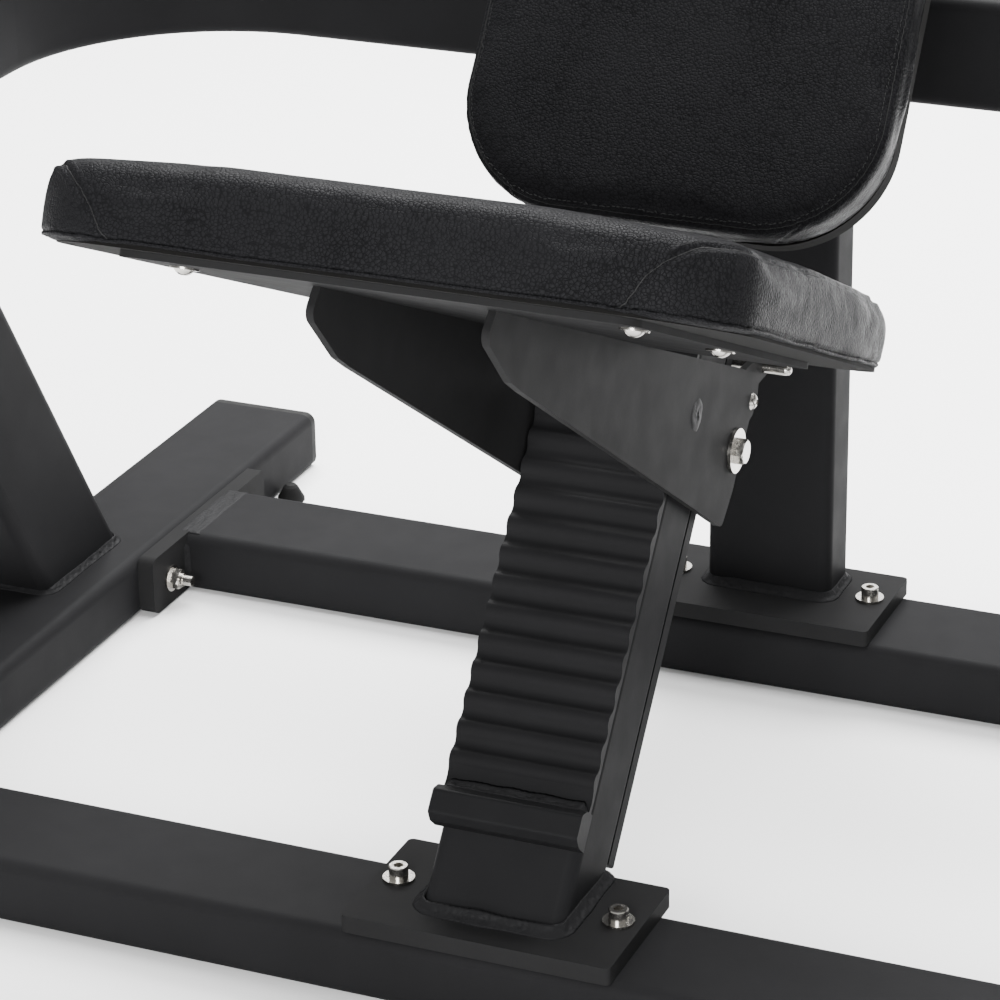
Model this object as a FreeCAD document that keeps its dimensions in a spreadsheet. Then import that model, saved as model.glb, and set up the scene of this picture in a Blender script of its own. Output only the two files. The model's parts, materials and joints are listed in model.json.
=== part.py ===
import FreeCAD, Part
import Sketcher
import math
import os

from FreeCAD import Vector, Placement, Rotation

# Plate-loaded chest press.  World frame: X across the machine (left is -X),
# +Y towards the back of the machine, +Z up from the floor.
# Lengths below are measured from the front face of the front rail and are
# shifted by shift_back so that the origin lies under the middle of the
# bounding box.

os.makedirs("parts", exist_ok=True)
doc = FreeCAD.newDocument("chest_press")
sheet = doc.addObject("Spreadsheet::Sheet", "Params")
DIMS = [
    ("shift_back", -397.5, "moves the origin to the middle of the length"),
    ("wall_thk", 3.0, "wall of the frame tubes"),
    ("corner_rad", 11.0, "outside corner radius of the frame tubes"),
    ("rail_wide", 120.0, "rail width"),
    ("rail_tall", 60.0, "rail height"),
    ("rail_half", 582.0, "half length of the cross rails"),
    ("side_centre", 658.5, "side rail centre line"),
    ("side_front", -75.0, "front end of the side rails"),
    ("side_back", 955.0, "back end of the side rails"),
    ("rear_front", 637.0, "front face of the rear rail"),
    ("flange_thk", 16.5, "rail end plate"),
    ("base_half", 114.0, "base plate half width"),
    ("base_thk", 15.0, "base plate thickness"),
    ("screw_span", 94.4, "base plate screw position"),
    ("post_wide", 120.0, "seat post width"),
    ("post_deep", 80.0, "seat post depth"),
    ("post_lean", 39.0, "seat post lean from vertical, degrees"),
    ("post_long", 626.0, "seat post length along its lean"),
    ("rack_pitch", 24.5, "wave pitch"),
    ("rack_first", 201.5, "first crest"),
    ("rack_wide", 124.0, "rack width"),
    ("lip_wide", 127.0, "stop lip width"),
    ("wear_thk", 14.0, "wear strip thickness"),
    ("wear_wide", 116.0, "wear strip width"),
    ("cheek_gap", 64.0, "cheek inner face"),
    ("cheek_thk", 6.0, "cheek thickness"),
    ("axle_rad", 6.0, "roller axle radius"),
    ("fit_gap", 0.05, "running fit, radial"),
    ("roller_rad", 21.5, "rear roller radius"),
    ("roller_half", 45.0, "rear roller half length"),
    ("bar_rad", 7.5, "rack bar radius"),
    ("seat_tilt", 24.5, "seat tilt, degrees"),
    ("seat_thk", 62.0, "seat foam and cover above the board underside"),
    ("board_thk", 12.0, "plywood board"),
    ("seat_plate_thk", 5.0, "steel plate under the seat"),
    ("pad_lean", 35.0, "back pad lean from vertical, degrees"),
    ("pad_thk", 65.0, "back pad thickness"),
    ("pad_half", 185.0, "back pad half width"),
    ("upright_wide", 120.0, "upright width"),
    ("upright_deep", 60.0, "upright depth"),
    ("hoop_tall", 100.0, "hoop tube height"),
    ("hoop_deep", 60.0, "hoop tube depth"),
    ("hoop_rad", 220.0, "hoop bend, centre line"),
    ("hoop_half", 716.0, "hoop arm centre line"),
    ("leg_lean", 30.4, "leg lean, degrees"),
    ("leg_wide", 80.0, "leg width"),
    ("leg_deep", 120.0, "leg depth"),
    ("leg_long", 800.0, "leg length"),
    ("leg_pivot", 736.2, "pivot position along the leg"),
    ("arm_centre", 756.0, "arm plane"),
    ("hub_rad", 40.0, "hub radius"),
    ("hub_long", 60.0, "hub length"),
    ("shaft_rad", 20.0, "pivot shaft radius"),
    ("bearing_rad", 28.0, "bearing outside radius"),
    ("bearing_long", 15.0, "bearing width"),
    ("lever_wide", 50.0, "arm tube width"),
    ("lever_deep", 80.0, "arm tube depth"),
    ("press_long", 472.0, "press lever length from the pivot"),
    ("press_angle", 52.9, "press lever angle at rest, degrees"),
    ("weight_long", 396.0, "weight lever length from the pivot"),
    ("cross_rad", 24.0, "cross tube radius"),
    ("horn_rad", 25.0, "weight horn radius"),
    ("horn_long", 205.0, "weight horn length"),
    ("grip_rad", 18.0, "grip radius"),
    ("bar_handle_rad", 14.0, "handle bar radius"),
]
for row, (alias, value, note) in enumerate(DIMS, start=1):
    sheet.set("A%d" % row, alias)
    sheet.set("B%d" % row, str(value))
    sheet.set("C%d" % row, note)
    sheet.setAlias("B%d" % row, alias)
doc.recompute()


def G(alias):
    return float(sheet.get(alias))


NODES = []
OY = G("shift_back")
EX, EY, EZ = Vector(1, 0, 0), Vector(0, 1, 0), Vector(0, 0, 1)


def frame_at(origin, xdir, zdir):
    """Placement whose local x and z axes point along xdir and zdir."""
    x = Vector(*xdir).normalize()
    z = Vector(*zdir).normalize()
    y = z.cross(x)
    o = Vector(origin[0], origin[1] + OY, origin[2])
    m = FreeCAD.Matrix(x.x, y.x, z.x, o.x, x.y, y.y, z.y, o.y,
                       x.z, y.z, z.z, o.z, 0, 0, 0, 1)
    return Placement(m)


def keep(obj, name):
    obj.Label = name
    NODES.append((name, obj))
    return obj


def new_sketch(body, role="XY_Plane", name="Sketch"):
    plane = [f for f in body.Origin.OriginFeatures if f.Role == role][0]
    sk = body.newObject("Sketcher::SketchObject", name)
    sk.AttachmentSupport = [(plane, "")]
    sk.MapMode = "FlatFace"
    return sk


def bind(sk, constraint, name, expr):
    n = sk.addConstraint(constraint)
    sk.renameConstraint(n, name)
    sk.setExpression("Constraints." + name, expr)


def rounded(sk, we, de, re, tag):
    """Rounded rectangle centred on the sketch origin, bound to the sheet."""
    def value(expr):
        for a in sorted((d[0] for d in DIMS), key=len, reverse=True):
            expr = expr.replace("Params." + a, repr(G(a)))
        total = 0.0
        for term in expr.replace(" - ", " + -").split(" + "):
            product = 1.0
            for f in term.split(" * "):
                if f.startswith("-"):
                    product *= -float(f[1:])
                else:
                    product *= float(f)
            total += product
        return total
    w, d, r = value(we), value(de), value(re)
    x, y = w / 2, d / 2
    g = len(sk.Geometry)
    lines = [((-x + r, -y), (x - r, -y)), ((x, -y + r), (x, y - r)),
             ((x - r, y), (-x + r, y)), ((-x, y - r), (-x, -y + r))]
    cents = [(x - r, -y + r), (x - r, y - r), (-x + r, y - r), (-x + r, -y + r)]
    for i in range(4):
        sk.addGeometry(Part.LineSegment(Vector(*lines[i][0], 0), Vector(*lines[i][1], 0)))
        sk.addGeometry(Part.ArcOfCircle(Part.Circle(Vector(*cents[i], 0), EZ, r),
                                        (i - 1) * math.pi / 2, i * math.pi / 2))
    C = Sketcher.Constraint
    for i in range(4):
        sk.addConstraint(C("Tangent", g + 2 * i, 2, g + 2 * i + 1, 1))
        sk.addConstraint(C("Tangent", g + 2 * i + 1, 2, g + (2 * i + 2) % 8, 1))
    for i in (3, 5, 7):
        sk.addConstraint(C("Equal", g + 1, g + i))
    for i in (0, 4):
        sk.addConstraint(C("Horizontal", g + i))
    for i in (2, 6):
        sk.addConstraint(C("Vertical", g + i))
    sk.addConstraint(C("Symmetric", g + 1, 3, g + 5, 3, -1, 1))
    bind(sk, C("Radius", g + 1, r), tag + "_rad", re)
    bind(sk, C("DistanceX", g, 1, g, 2, w - 2 * r), tag + "_w", "%s - 2 * (%s)" % (we, re))
    bind(sk, C("DistanceY", g + 2, 1, g + 2, 2, d - 2 * r), tag + "_d", "%s - 2 * (%s)" % (de, re))


def tube(name, we, de, le, place, rad="Params.corner_rad", closed=False):
    """Rectangular tube: profile on XY, length along +Z of its placement."""
    body = doc.addObject("PartDesign::Body", name)
    sk = new_sketch(body)
    rounded(sk, we, de, rad, "outer")
    if not closed:
        rounded(sk, we + " - 2 * Params.wall_thk", de + " - 2 * Params.wall_thk",
                rad + " - Params.wall_thk", "inner")
    pad = body.newObject("PartDesign::Pad", "Pad")
    pad.Profile = sk
    pad.setExpression("Length", le)
    if closed:
        sk2 = new_sketch(body, name="Bore")
        rounded(sk2, we + " - 2 * Params.wall_thk", de + " - 2 * Params.wall_thk",
                rad + " - Params.wall_thk", "inner")
        doc.recompute()
        before = pad.Shape.Volume
        pocket = body.newObject("PartDesign::Pocket", "Hollow")
        pocket.Profile = sk2
        pocket.setExpression("Length", "%s - Params.wall_thk" % le)
        pocket.Reversed = True
        doc.recompute()
        if pocket.Shape.Volume > 0.8 * before:
            raise RuntimeError("hollow of %s cut nothing" % name)
    body.Placement = place
    return body


def outline(sk, pts):
    """Closed outline; each point is (x, y) or (x, y, corner radius)."""
    n = len(pts)
    ends = []
    for i in range(n):
        p = Vector(pts[i][0], pts[i][1], 0)
        r = pts[i][2] if len(pts[i]) > 2 else 0.0
        if r <= 0:
            ends.append((p, p, None))
            continue
        a = Vector(pts[i - 1][0], pts[i - 1][1], 0) - p
        b = Vector(pts[(i + 1) % n][0], pts[(i + 1) % n][1], 0) - p
        a.normalize()
        b.normalize()
        half = a.getAngle(b) / 2
        t = r / math.tan(half)
        mid = (a + b).normalize()
        c = p + mid * (r / math.sin(half))
        ends.append((p + a * t, p + b * t, Part.Arc(p + a * t, c - mid * r, p + b * t)))
    for i in range(n):
        if ends[i][2] is not None:
            sk.addGeometry(ends[i][2])
        p, q = ends[i][1], ends[(i + 1) % n][0]
        if (q - p).Length > 1e-6:
            sk.addGeometry(Part.LineSegment(p, q))


def plate(name, pts, thk, place, holes=(), role="XY_Plane"):
    """Flat plate: outline and round holes on one plane, padded by thk."""
    body = doc.addObject("PartDesign::Body", name)
    sk = new_sketch(body, role)
    outline(sk, pts)
    for k, (x, y, rexpr, r) in enumerate(holes):
        i = sk.addGeometry(Part.Circle(Vector(x, y, 0), EZ, r))
        bind(sk, Sketcher.Constraint("Radius", i, r), "hole%d" % k, rexpr)
    pad = body.newObject("PartDesign::Pad", "Pad")
    pad.Profile = sk
    pad.setExpression("Length", thk)
    body.Placement = place
    return body


def turned(name, prof, place):
    """Body of revolution about local Z from (radius, height) points."""
    body = doc.addObject("PartDesign::Body", name)
    sk = new_sketch(body, "XZ_Plane")
    outline(sk, prof)
    rev = body.newObject("PartDesign::Revolution", "Revolution")
    rev.Profile = sk
    rev.ReferenceAxis = (sk, ["V_Axis"])
    rev.Angle = 360
    body.Placement = place
    return body


def slab(name, origin, normal, side=(1, 0, 0), size=500.0):
    """Block that starts at a plane and fills the side its normal points to."""
    box = doc.addObject("Part::Box", name)
    box.Length = size * 4
    box.Width = size * 4
    box.Height = size
    p = frame_at(origin, side, normal)
    off = p.Rotation.multVec(Vector(-2 * size, -2 * size, 0))
    box.Placement = Placement(p.Base + off, p.Rotation)
    return box


def drill(name, origin, axis, radius, length, side=(0, 0, 1)):
    cyl = doc.addObject("Part::Cylinder", name)
    cyl.Radius = radius
    cyl.Height = length
    cyl.Placement = frame_at(origin, side, axis)
    return cyl


def cut(base, tools, name):
    for k, tool in enumerate(tools):
        c = doc.addObject("Part::Cut", "%s_cut%d" % (name, k))
        c.Base = base
        c.Tool = tool
        base = c
    return base


def mirror(src, name):
    m = doc.addObject("Part::Mirroring", name)
    m.Source = src
    m.Base = Vector(0, 0, 0)
    m.Normal = EX
    return keep(m, name)


def group(shapes, name):
    f = doc.addObject("Part::Feature", name)
    f.Shape = Part.makeCompound(shapes) if len(shapes) > 1 else shapes[0]
    return keep(f, name)


def at(shape, origin, xdir, zdir):
    s = shape.copy()
    s.Placement = frame_at(origin, xdir, zdir)
    return s


def socket_screw(rad, length, head_rad, head_tall):
    head = Part.makeCylinder(head_rad, head_tall, Vector(0, 0, 0))
    edge = [e for e in head.Edges if abs(e.BoundBox.ZMin - head_tall) < 1e-6 and len(e.Vertexes) == 1 and e.BoundBox.ZLength < 1e-6]
    head = head.makeChamfer(0.8, edge[:1])
    pts = [Vector(rad * 0.86 * math.cos(a * math.pi / 3), rad * 0.86 * math.sin(a * math.pi / 3), head_tall * 0.45) for a in range(7)]
    hexa = Part.Face(Part.makePolygon(pts)).extrude(Vector(0, 0, head_tall))
    shank = Part.makeCylinder(rad, length, Vector(0, 0, -length))
    return head.cut(hexa).fuse(shank).removeSplitter()


def dome_screw(rad, length, head_rad, head_tall):
    ball = (head_rad ** 2 + head_tall ** 2) / (2 * head_tall)
    dome = Part.makeSphere(ball, Vector(0, 0, head_tall - ball)).common(
        Part.makeCylinder(head_rad, head_tall))
    pts = [Vector(rad * 0.62 * math.cos(a * math.pi / 3), rad * 0.62 * math.sin(a * math.pi / 3), head_tall * 0.45) for a in range(7)]
    hexa = Part.Face(Part.makePolygon(pts)).extrude(Vector(0, 0, head_tall))
    shank = Part.makeCylinder(rad, length, Vector(0, 0, -length))
    return dome.cut(hexa).fuse(shank).removeSplitter()


def hex_prism(across, tall, z0=0.0):
    r = across / math.sqrt(3)
    pts = [Vector(r * math.cos(a * math.pi / 3), r * math.sin(a * math.pi / 3), z0) for a in range(7)]
    p = Part.Face(Part.makePolygon(pts)).extrude(Vector(0, 0, tall))
    cone = Part.makeCone(across / 2 + tall * 1.0, across / 2 - 0.3, tall + 0.3, Vector(0, 0, z0))
    return p.common(cone)


def ring(rout, rin, tall, z0=0.0):
    return Part.makeCylinder(rout, tall, Vector(0, 0, z0)).cut(
        Part.makeCylinder(rin, tall + 2, Vector(0, 0, z0 - 1)))


# ---------------------------------------------------------------- base frame
rail_w, rail_h = G("rail_wide"), G("rail_tall")
half = G("rail_half")
rear0 = G("rear_front")
screw = G("screw_span")


def cross_rail(name, y_front):
    body = tube(name + "_blank", "Params.rail_wide", "Params.rail_tall",
                "2 * Params.rail_half",
                frame_at((-half, y_front + rail_w / 2, rail_h / 2), (0, 1, 0), (1, 0, 0)))
    y_screw = y_front + 69.0
    tools = [drill("%s_hole%d" % (name, k), (s * screw, y_screw, rail_h - 15), (0, 0, 1), 5.5, 30, (1, 0, 0))
             for k, s in enumerate((-1, 1))]
    return keep(cut(body, tools, name), name)


cross_rail("front_rail", 0.0)
cross_rail("rear_rail", rear0)

side_c = G("side_centre")
side_in = side_c - rail_w / 2
BOLT_Y = {"front": 157.0, "rear": 603.0}
BOLT_Z = 28.0
side = tube("side_rail_left_blank", "Params.rail_wide", "Params.rail_tall",
            "Params.side_back - Params.side_front",
            frame_at((-side_c, G("side_front"), rail_h / 2), (1, 0, 0), (0, 1, 0)))
side_left = keep(cut(side, [drill("side_hole_" + k, (-side_in - 8, y, BOLT_Z), (1, 0, 0), 5.5, 20)
                            for k, y in BOLT_Y.items()], "side_rail_left"), "side_rail_left")
mirror(side_left, "side_rail_right")


def flange_pair(name, y0, y1, y_bolt, round_front):
    a, b_ = (10, 3) if round_front else (3, 10)
    pts = [(y0, 2, a), (y1, 2, b_), (y1, rail_h, b_), (y0, rail_h, a)]
    left = plate(name + "_left", pts, "Params.flange_thk",
                 frame_at((-side_in, 0, 0), (0, 1, 0), (1, 0, 0)),
                 holes=[(y_bolt, BOLT_Z, "5.5", 5.5)])
    right = doc.addObject("Part::Mirroring", name + "_right")
    right.Source = left
    right.Normal = EX
    both = doc.addObject("Part::Compound", name)
    both.Links = [left, right]
    return keep(both, name)


flange_pair("rear_flanges", 568.0, 808.0, BOLT_Y["rear"], True)
flange_pair("front_flanges", -22.0, 189.0, BOLT_Y["front"], False)

studs = []
fl_in = side_in - G("flange_thk")
for s in (-1, 1):
    for y in BOLT_Y.values():
        stud = Part.makeCylinder(5, 56, Vector(0, 0, -32))
        stud = stud.fuse(ring(13, 4.9, 2.5)).fuse(hex_prism(17, 9, 2.5)).fuse(ring(6.6, 4.9, 3.0, 11.5)).removeSplitter()
        studs.append(at(stud, (s * fl_in, y, BOLT_Z), (0, 1, 0), (-s, 0, 0)))
group(studs, "flange_bolts")

caps = []
for s in (-1, 1):
    for y, d in ((G("side_back"), 1), (G("side_front"), -1)):
        b = Part.makeBox(rail_w, rail_h, 11, Vector(-rail_w / 2, -rail_h / 2, 0))
        long_edges = [e for e in b.Edges if e.BoundBox.ZLength > 5]
        b = b.makeFillet(G("corner_rad"), long_edges)
        b = b.makeFillet(3.5, [e for e in b.Edges if abs(e.BoundBox.ZMin - 11) < 1e-6 and abs(e.BoundBox.ZMax - 11) < 1e-6])
        plug = Part.makeBox(rail_w - 12, rail_h - 12, 12, Vector(-(rail_w - 12) / 2, -(rail_h - 12) / 2, -12))
        plug = plug.makeFillet(5, [e for e in plug.Edges if e.BoundBox.ZLength > 5])
        caps.append(at(b.fuse(plug).removeSplitter(), (s * side_c, y, rail_h / 2), (1, 0, 0), (0, d, 0)))
group(caps, "rail_end_caps")

bh = G("base_half")
for name, y0, y1, ys in (("front_base_plate", -1.0, 134.0, 69.0),
                         ("rear_base_plate", rear0 - 1, rear0 + 126, rear0 + 69)):
    keep(plate(name, [(-bh, y0, 5), (bh, y0, 5), (bh, y1, 5), (-bh, y1, 5)], "Params.base_thk",
               frame_at((0, 0, rail_h), (1, 0, 0), (0, 0, 1)),
               holes=[(-screw, ys, "5.5", 5.5), (screw, ys, "5.5", 5.5)]), name)
z_plate = rail_h + G("base_thk")
screws, washers = [], []
for ys in (69.0, rear0 + 69.0):
    for s in (-1, 1):
        screws.append(at(socket_screw(5, 32, 8, 10), (s * screw, ys, z_plate + 2.5), (1, 0, 0), (0, 0, 1)))
        washers.append(at(ring(13, 5.5, 2.5), (s * screw, ys, z_plate), (1, 0, 0), (0, 0, 1)))
group(screws, "base_plate_screws")
group(washers, "base_plate_washers")

# ----------------------------------------------------------------- seat post
th = math.radians(G("post_lean"))
st, ct = math.sin(th), math.cos(th)


def un(u, n):
    """Point from distance along the post and distance behind its axis plane."""
    return (u * st + n * ct, u * ct - n * st)


U_DIR, N_DIR = (0, st, ct), (0, ct, -st)
N0, N1 = -23.0, -23.0 + G("post_deep")
mid_n = (N0 + N1) / 2
p0 = un(0, mid_n)
post = tube("seat_post_blank", "Params.post_wide", "Params.post_deep", "Params.post_long",
            frame_at((0,) + p0, (1, 0, 0), U_DIR))
keep(cut(post, [slab("post_floor", (0, 0, z_plate), (0, 0, -1))], "seat_post"), "seat_post")

# wave rack: round waves across the front face of the post
pitch, first = G("rack_pitch"), G("rack_first")
rack_top = first + pitch * 16 + 12.0
body = doc.addObject("PartDesign::Body", "wave_rack")
sk = new_sketch(body, "YZ_Plane")
u0 = 176.6
start = (-29.0, u0)
pts = [start]
u = first - pitch / 4
arcs = []
prev = Vector(-30.5, u, 0)
sk.addGeometry(Part.LineSegment(Vector(N0, u0, 0), Vector(start[0], start[1], 0)))
sk.addGeometry(Part.Arc(Vector(start[0], start[1], 0), Vector(-28.0, first - pitch / 2, 0), prev))
for k in range(16):
    c = first + k * pitch
    nxt = Vector(-30.5, c + pitch / 4, 0)
    sk.addGeometry(Part.Arc(prev, Vector(-33.0, c, 0), nxt))
    prev = nxt
    nxt = Vector(-30.5, c + 3 * pitch / 4, 0)
    sk.addGeometry(Part.Arc(prev, Vector(-28.0, c + pitch / 2, 0), nxt))
    prev = nxt
sk.addGeometry(Part.LineSegment(prev, Vector(-30.5, rack_top, 0)))
sk.addGeometry(Part.LineSegment(Vector(-30.5, rack_top, 0), Vector(N0, rack_top, 0)))
sk.addGeometry(Part.LineSegment(Vector(N0, rack_top, 0), Vector(N0, u0, 0)))
pad = body.newObject("PartDesign::Pad", "Pad")
pad.Profile = sk
pad.setExpression("Length", "Params.rack_wide")
pad.SideType = "Symmetric"
# the sketch plane's own axes are world Y and Z, turned so that Z runs up the post
body.Placement = Placement(Vector(0, OY, 0), Rotation(EX, -G("post_lean")))
keep(body, "wave_rack")

# stop lip below the lowest wave
lip_pts = [(N0, 145.5), (N0, 176.3), (-37.0, 176.3, 3), (-46.0, 171.0, 4), (-46.0, 152.0, 3), (-37.0, 146.5, 3)]
body = doc.addObject("PartDesign::Body", "rack_stop_lip")
sk = new_sketch(body, "YZ_Plane")
outline(sk, lip_pts)
pad = body.newObject("PartDesign::Pad", "Pad")
pad.Profile = sk
pad.setExpression("Length", "Params.lip_wide")
pad.SideType = "Symmetric"
body.Placement = Placement(Vector(0, OY, 0), Rotation(EX, -G("post_lean")))
keep(body, "rack_stop_lip")

w0 = un(151, N1)
wear = plate("post_wear_plate", [(-G("wear_wide") / 2, 0, 2), (G("wear_wide") / 2, 0, 2),
                                 (G("wear_wide") / 2, 470, 2), (-G("wear_wide") / 2, 470, 2)],
             "Params.wear_thk", frame_at((0,) + w0, (-1, 0, 0), N_DIR))
keep(wear, "post_wear_plate")

# ------------------------------------------------------------------- upright
up_y0 = 688.0
ud = G("upright_deep")
pl = math.radians(G("pad_lean"))
sp, cp = math.sin(pl), math.cos(pl)
PAD_O = (462.5, 668.0)


def pad_pt(s, n):
    """Point on the back pad: s up its face, n out of its face."""
    return (PAD_O[0] + s * sp - n * cp, PAD_O[1] + s * cp + n * sp)


BRK = 8.0
back_n = -(G("pad_thk") + 15.0)
s_bend = (up_y0 - pad_pt(0, back_n - BRK)[0]) / sp
z_bend_front = pad_pt(s_bend, back_n - BRK)[1]
bis = pl / 2
z_bend_mid = z_bend_front - (ud / 2) * math.tan(bis)
s_top = 575.0
mid_top = pad_pt(s_top, back_n - BRK - ud / 2)
body = doc.addObject("PartDesign::Body", "upright")
path = new_sketch(body, "YZ_Plane", "Path")
ym = up_y0 + ud / 2
path.addGeometry(Part.LineSegment(Vector(ym, z_plate, 0), Vector(ym, z_bend_mid, 0)))
path.addGeometry(Part.LineSegment(Vector(ym, z_bend_mid, 0), Vector(mid_top[0], mid_top[1], 0)))
prof = body.newObject("Sketcher::SketchObject", "Section")
plane = [f for f in body.Origin.OriginFeatures if f.Role == "XY_Plane"][0]
prof.AttachmentSupport = [(plane, "")]
prof.MapMode = "FlatFace"
prof.AttachmentOffset = Placement(Vector(0, ym, z_plate), Rotation())
rounded(prof, "Params.upright_wide", "Params.upright_deep", "Params.corner_rad", "outer")
rounded(prof, "Params.upright_wide - 2 * Params.wall_thk", "Params.upright_deep - 2 * Params.wall_thk",
        "Params.corner_rad - Params.wall_thk", "inner")
doc.recompute()
pipe = body.newObject("PartDesign::AdditivePipe", "Pipe")
pipe.Profile = prof
pipe.Spine = (path, ["Edge1", "Edge2"])
pipe.Transition = "Right corner"
body.Placement = Placement(Vector(0, OY, 0), Rotation())
keep(body, "upright")

# ---------------------------------------------------------------------- legs
ll = math.radians(G("leg_lean"))
sl, cl = math.sin(ll), math.cos(ll)
leg_c = G("side_centre") + 20.0
L_DIR = (0, -sl, cl)
foot_y = 536.5


def leg_pt(along, back=0.0):
    """Point on the leg: distance up its axis from the rail, and behind the axis."""
    return (foot_y - along * sl + back * cl, rail_h + along * cl + back * sl)


pivot = leg_pt(G("leg_pivot"))
leg = tube("leg_left_blank", "Params.leg_wide", "Params.leg_deep", "Params.leg_long + 120",
           frame_at((-leg_c,) + leg_pt(-120), (1, 0, 0), L_DIR))
hb = 50.0
fl_mid_y = foot_y + G("leg_deep") / 2 / cl - (590.0 - rail_h) * math.tan(ll)
leg_tools = [slab("leg_floor", (-leg_c, 0, rail_h), (0, 0, -1)),
             drill("leg_pivot_hole", (-leg_c - 60, pivot[0], pivot[1]), (1, 0, 0), G("shaft_rad") + 0.1, 120)]
for k, d in enumerate((-hb, hb)):
    leg_tools.append(drill("leg_bolt_hole%d" % k,
                           (-658.0, fl_mid_y - sl * d - 20 * cl, 590.0 + cl * d - 20 * sl), (0, cl, sl), 5.5, 40, (1, 0, 0)))
leg_left = keep(cut(leg, leg_tools, "leg_left"), "leg_left")
mirror(leg_left, "leg_right")

# hoop flanges lie on the rear faces of the legs
pts = [(-56, -62, 6), (56, -62, 6), (56, 62, 6), (-56, 62, 6)]
fl = plate("hoop_flange_a", pts, "10", frame_at((-692.0, fl_mid_y, 590.0), (-1, 0, 0), (0, cl, sl)),
           holes=[(-34.0, -hb, "5.5", 5.5), (-34.0, hb, "5.5", 5.5)])
fl2 = doc.addObject("Part::Mirroring", "hoop_flange_b")
fl2.Source = fl
fl2.Normal = EX
both = doc.addObject("Part::Compound", "hoop_flanges")
both.Links = [fl, fl2]
keep(both, "hoop_flanges")
hexes = []
for s in (-1, 1):
    for d in (-hb, hb):
        b = Part.makeCylinder(5, 24, Vector(0, 0, -22)).fuse(ring(11, 4.9, 2)).fuse(hex_prism(17, 7, 2)).removeSplitter()
        hexes.append(at(b, (s * 658.0, fl_mid_y - sl * d + 10 * cl, 590.0 + cl * d + 10 * sl), (1, 0, 0), (0, cl, sl)))
group(hexes, "hoop_flange_bolts")

# ---------------------------------------------------------------------- hoop
hy = 748.0 + G("hoop_deep") / 2
hr, hh = G("hoop_rad"), G("hoop_half")
xc = hh - hr
body = doc.addObject("PartDesign::Body", "hoop_blank")
path = new_sketch(body, "XY_Plane", "Path")
path.AttachmentOffset = Placement(Vector(0, 0, 590), Rotation())
yc = hy - hr
y_end = 230.0
path.addGeometry(Part.LineSegment(Vector(-hh, y_end, 0), Vector(-hh, yc, 0)))
path.addGeometry(Part.ArcOfCircle(Part.Circle(Vector(-xc, yc, 0), EZ, hr), math.pi / 2, math.pi))
path.addGeometry(Part.LineSegment(Vector(-xc, hy, 0), Vector(xc, hy, 0)))
path.addGeometry(Part.ArcOfCircle(Part.Circle(Vector(xc, yc, 0), EZ, hr), 0, math.pi / 2))
path.addGeometry(Part.LineSegment(Vector(hh, yc, 0), Vector(hh, y_end, 0)))
prof = body.newObject("Sketcher::SketchObject", "Section")
plane = [f for f in body.Origin.OriginFeatures if f.Role == "XZ_Plane"][0]
prof.AttachmentSupport = [(plane, "")]
prof.MapMode = "FlatFace"
prof.AttachmentOffset = Placement(Vector(-hh, 590, -y_end), Rotation())
rounded(prof, "Params.hoop_deep", "Params.hoop_tall", "Params.corner_rad", "outer")
rounded(prof, "Params.hoop_deep - 2 * Params.wall_thk", "Params.hoop_tall - 2 * Params.wall_thk",
        "Params.corner_rad - Params.wall_thk", "inner")
doc.recompute()
pipe = body.newObject("PartDesign::AdditivePipe", "Pipe")
pipe.Profile = prof
pipe.Spine = (path, ["Edge1", "Edge2", "Edge3", "Edge4", "Edge5"])
pipe.Mode = "Frenet"
pipe.Transition = "Transformed"
body.Placement = Placement(Vector(0, OY, 0), Rotation())
doc.recompute()
trim = slab("hoop_trim", (0, fl_mid_y + 10 * cl, 590.0 + 10 * sl), (0, -cl, -sl))
keep(cut(body, [trim], "hoop"), "hoop")

# ------------------------------------------------- caps on the leaning tubes
caps = []


def tube_cap(w, d, origin, zdir, rad=11.0, thk=5.0):
    b = Part.makeBox(w, d, thk, Vector(-w / 2, -d / 2, 0))
    b = b.makeFillet(rad, [e for e in b.Edges if e.BoundBox.ZLength > thk - 1])
    b = b.makeFillet(1.8, [e for e in b.Edges if abs(e.BoundBox.ZMin - thk) < 1e-6 and abs(e.BoundBox.ZMax - thk) < 1e-6])
    pw, pd = w - 10, d - 10
    plug = Part.makeBox(pw, pd, 12, Vector(-pw / 2, -pd / 2, -12))
    plug = plug.makeFillet(5, [e for e in plug.Edges if e.BoundBox.ZLength > 5])
    return at(b.fuse(plug).removeSplitter(), origin, (1, 0, 0), zdir)


caps.append(tube_cap(G("post_wide"), G("post_deep"), (0,) + un(G("post_long"), mid_n), U_DIR, thk=3.0))
caps.append(tube_cap(G("upright_wide"), ud, (0,) + mid_top, (0, sp, cp)))
for s in (-1, 1):
    caps.append(tube_cap(G("leg_wide"), G("leg_deep"), (s * leg_c,) + leg_pt(G("leg_long")), L_DIR))
group(caps, "tube_top_caps")

# feet: rubber buffers on the inner side of the side rails
feet = []
for s in (-1, 1):
    for y in (-48.0, 873.0):
        prof_pts = [Vector(0, 0, 0), Vector(14, 0, 0), Vector(14, 0, 3), Vector(7.5, 0, 15), Vector(5, 0, 17.5), Vector(0, 0, 18.5), Vector(0, 0, 0)]
        f = Part.Face(Part.makePolygon(prof_pts)).revolve(Vector(0, 0, 0), EZ, 360)
        feet.append(at(f, (s * (side_in - 14.1), y, 0), (1, 0, 0), (0, 0, 1)))
group(feet, "rubber_feet")

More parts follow.
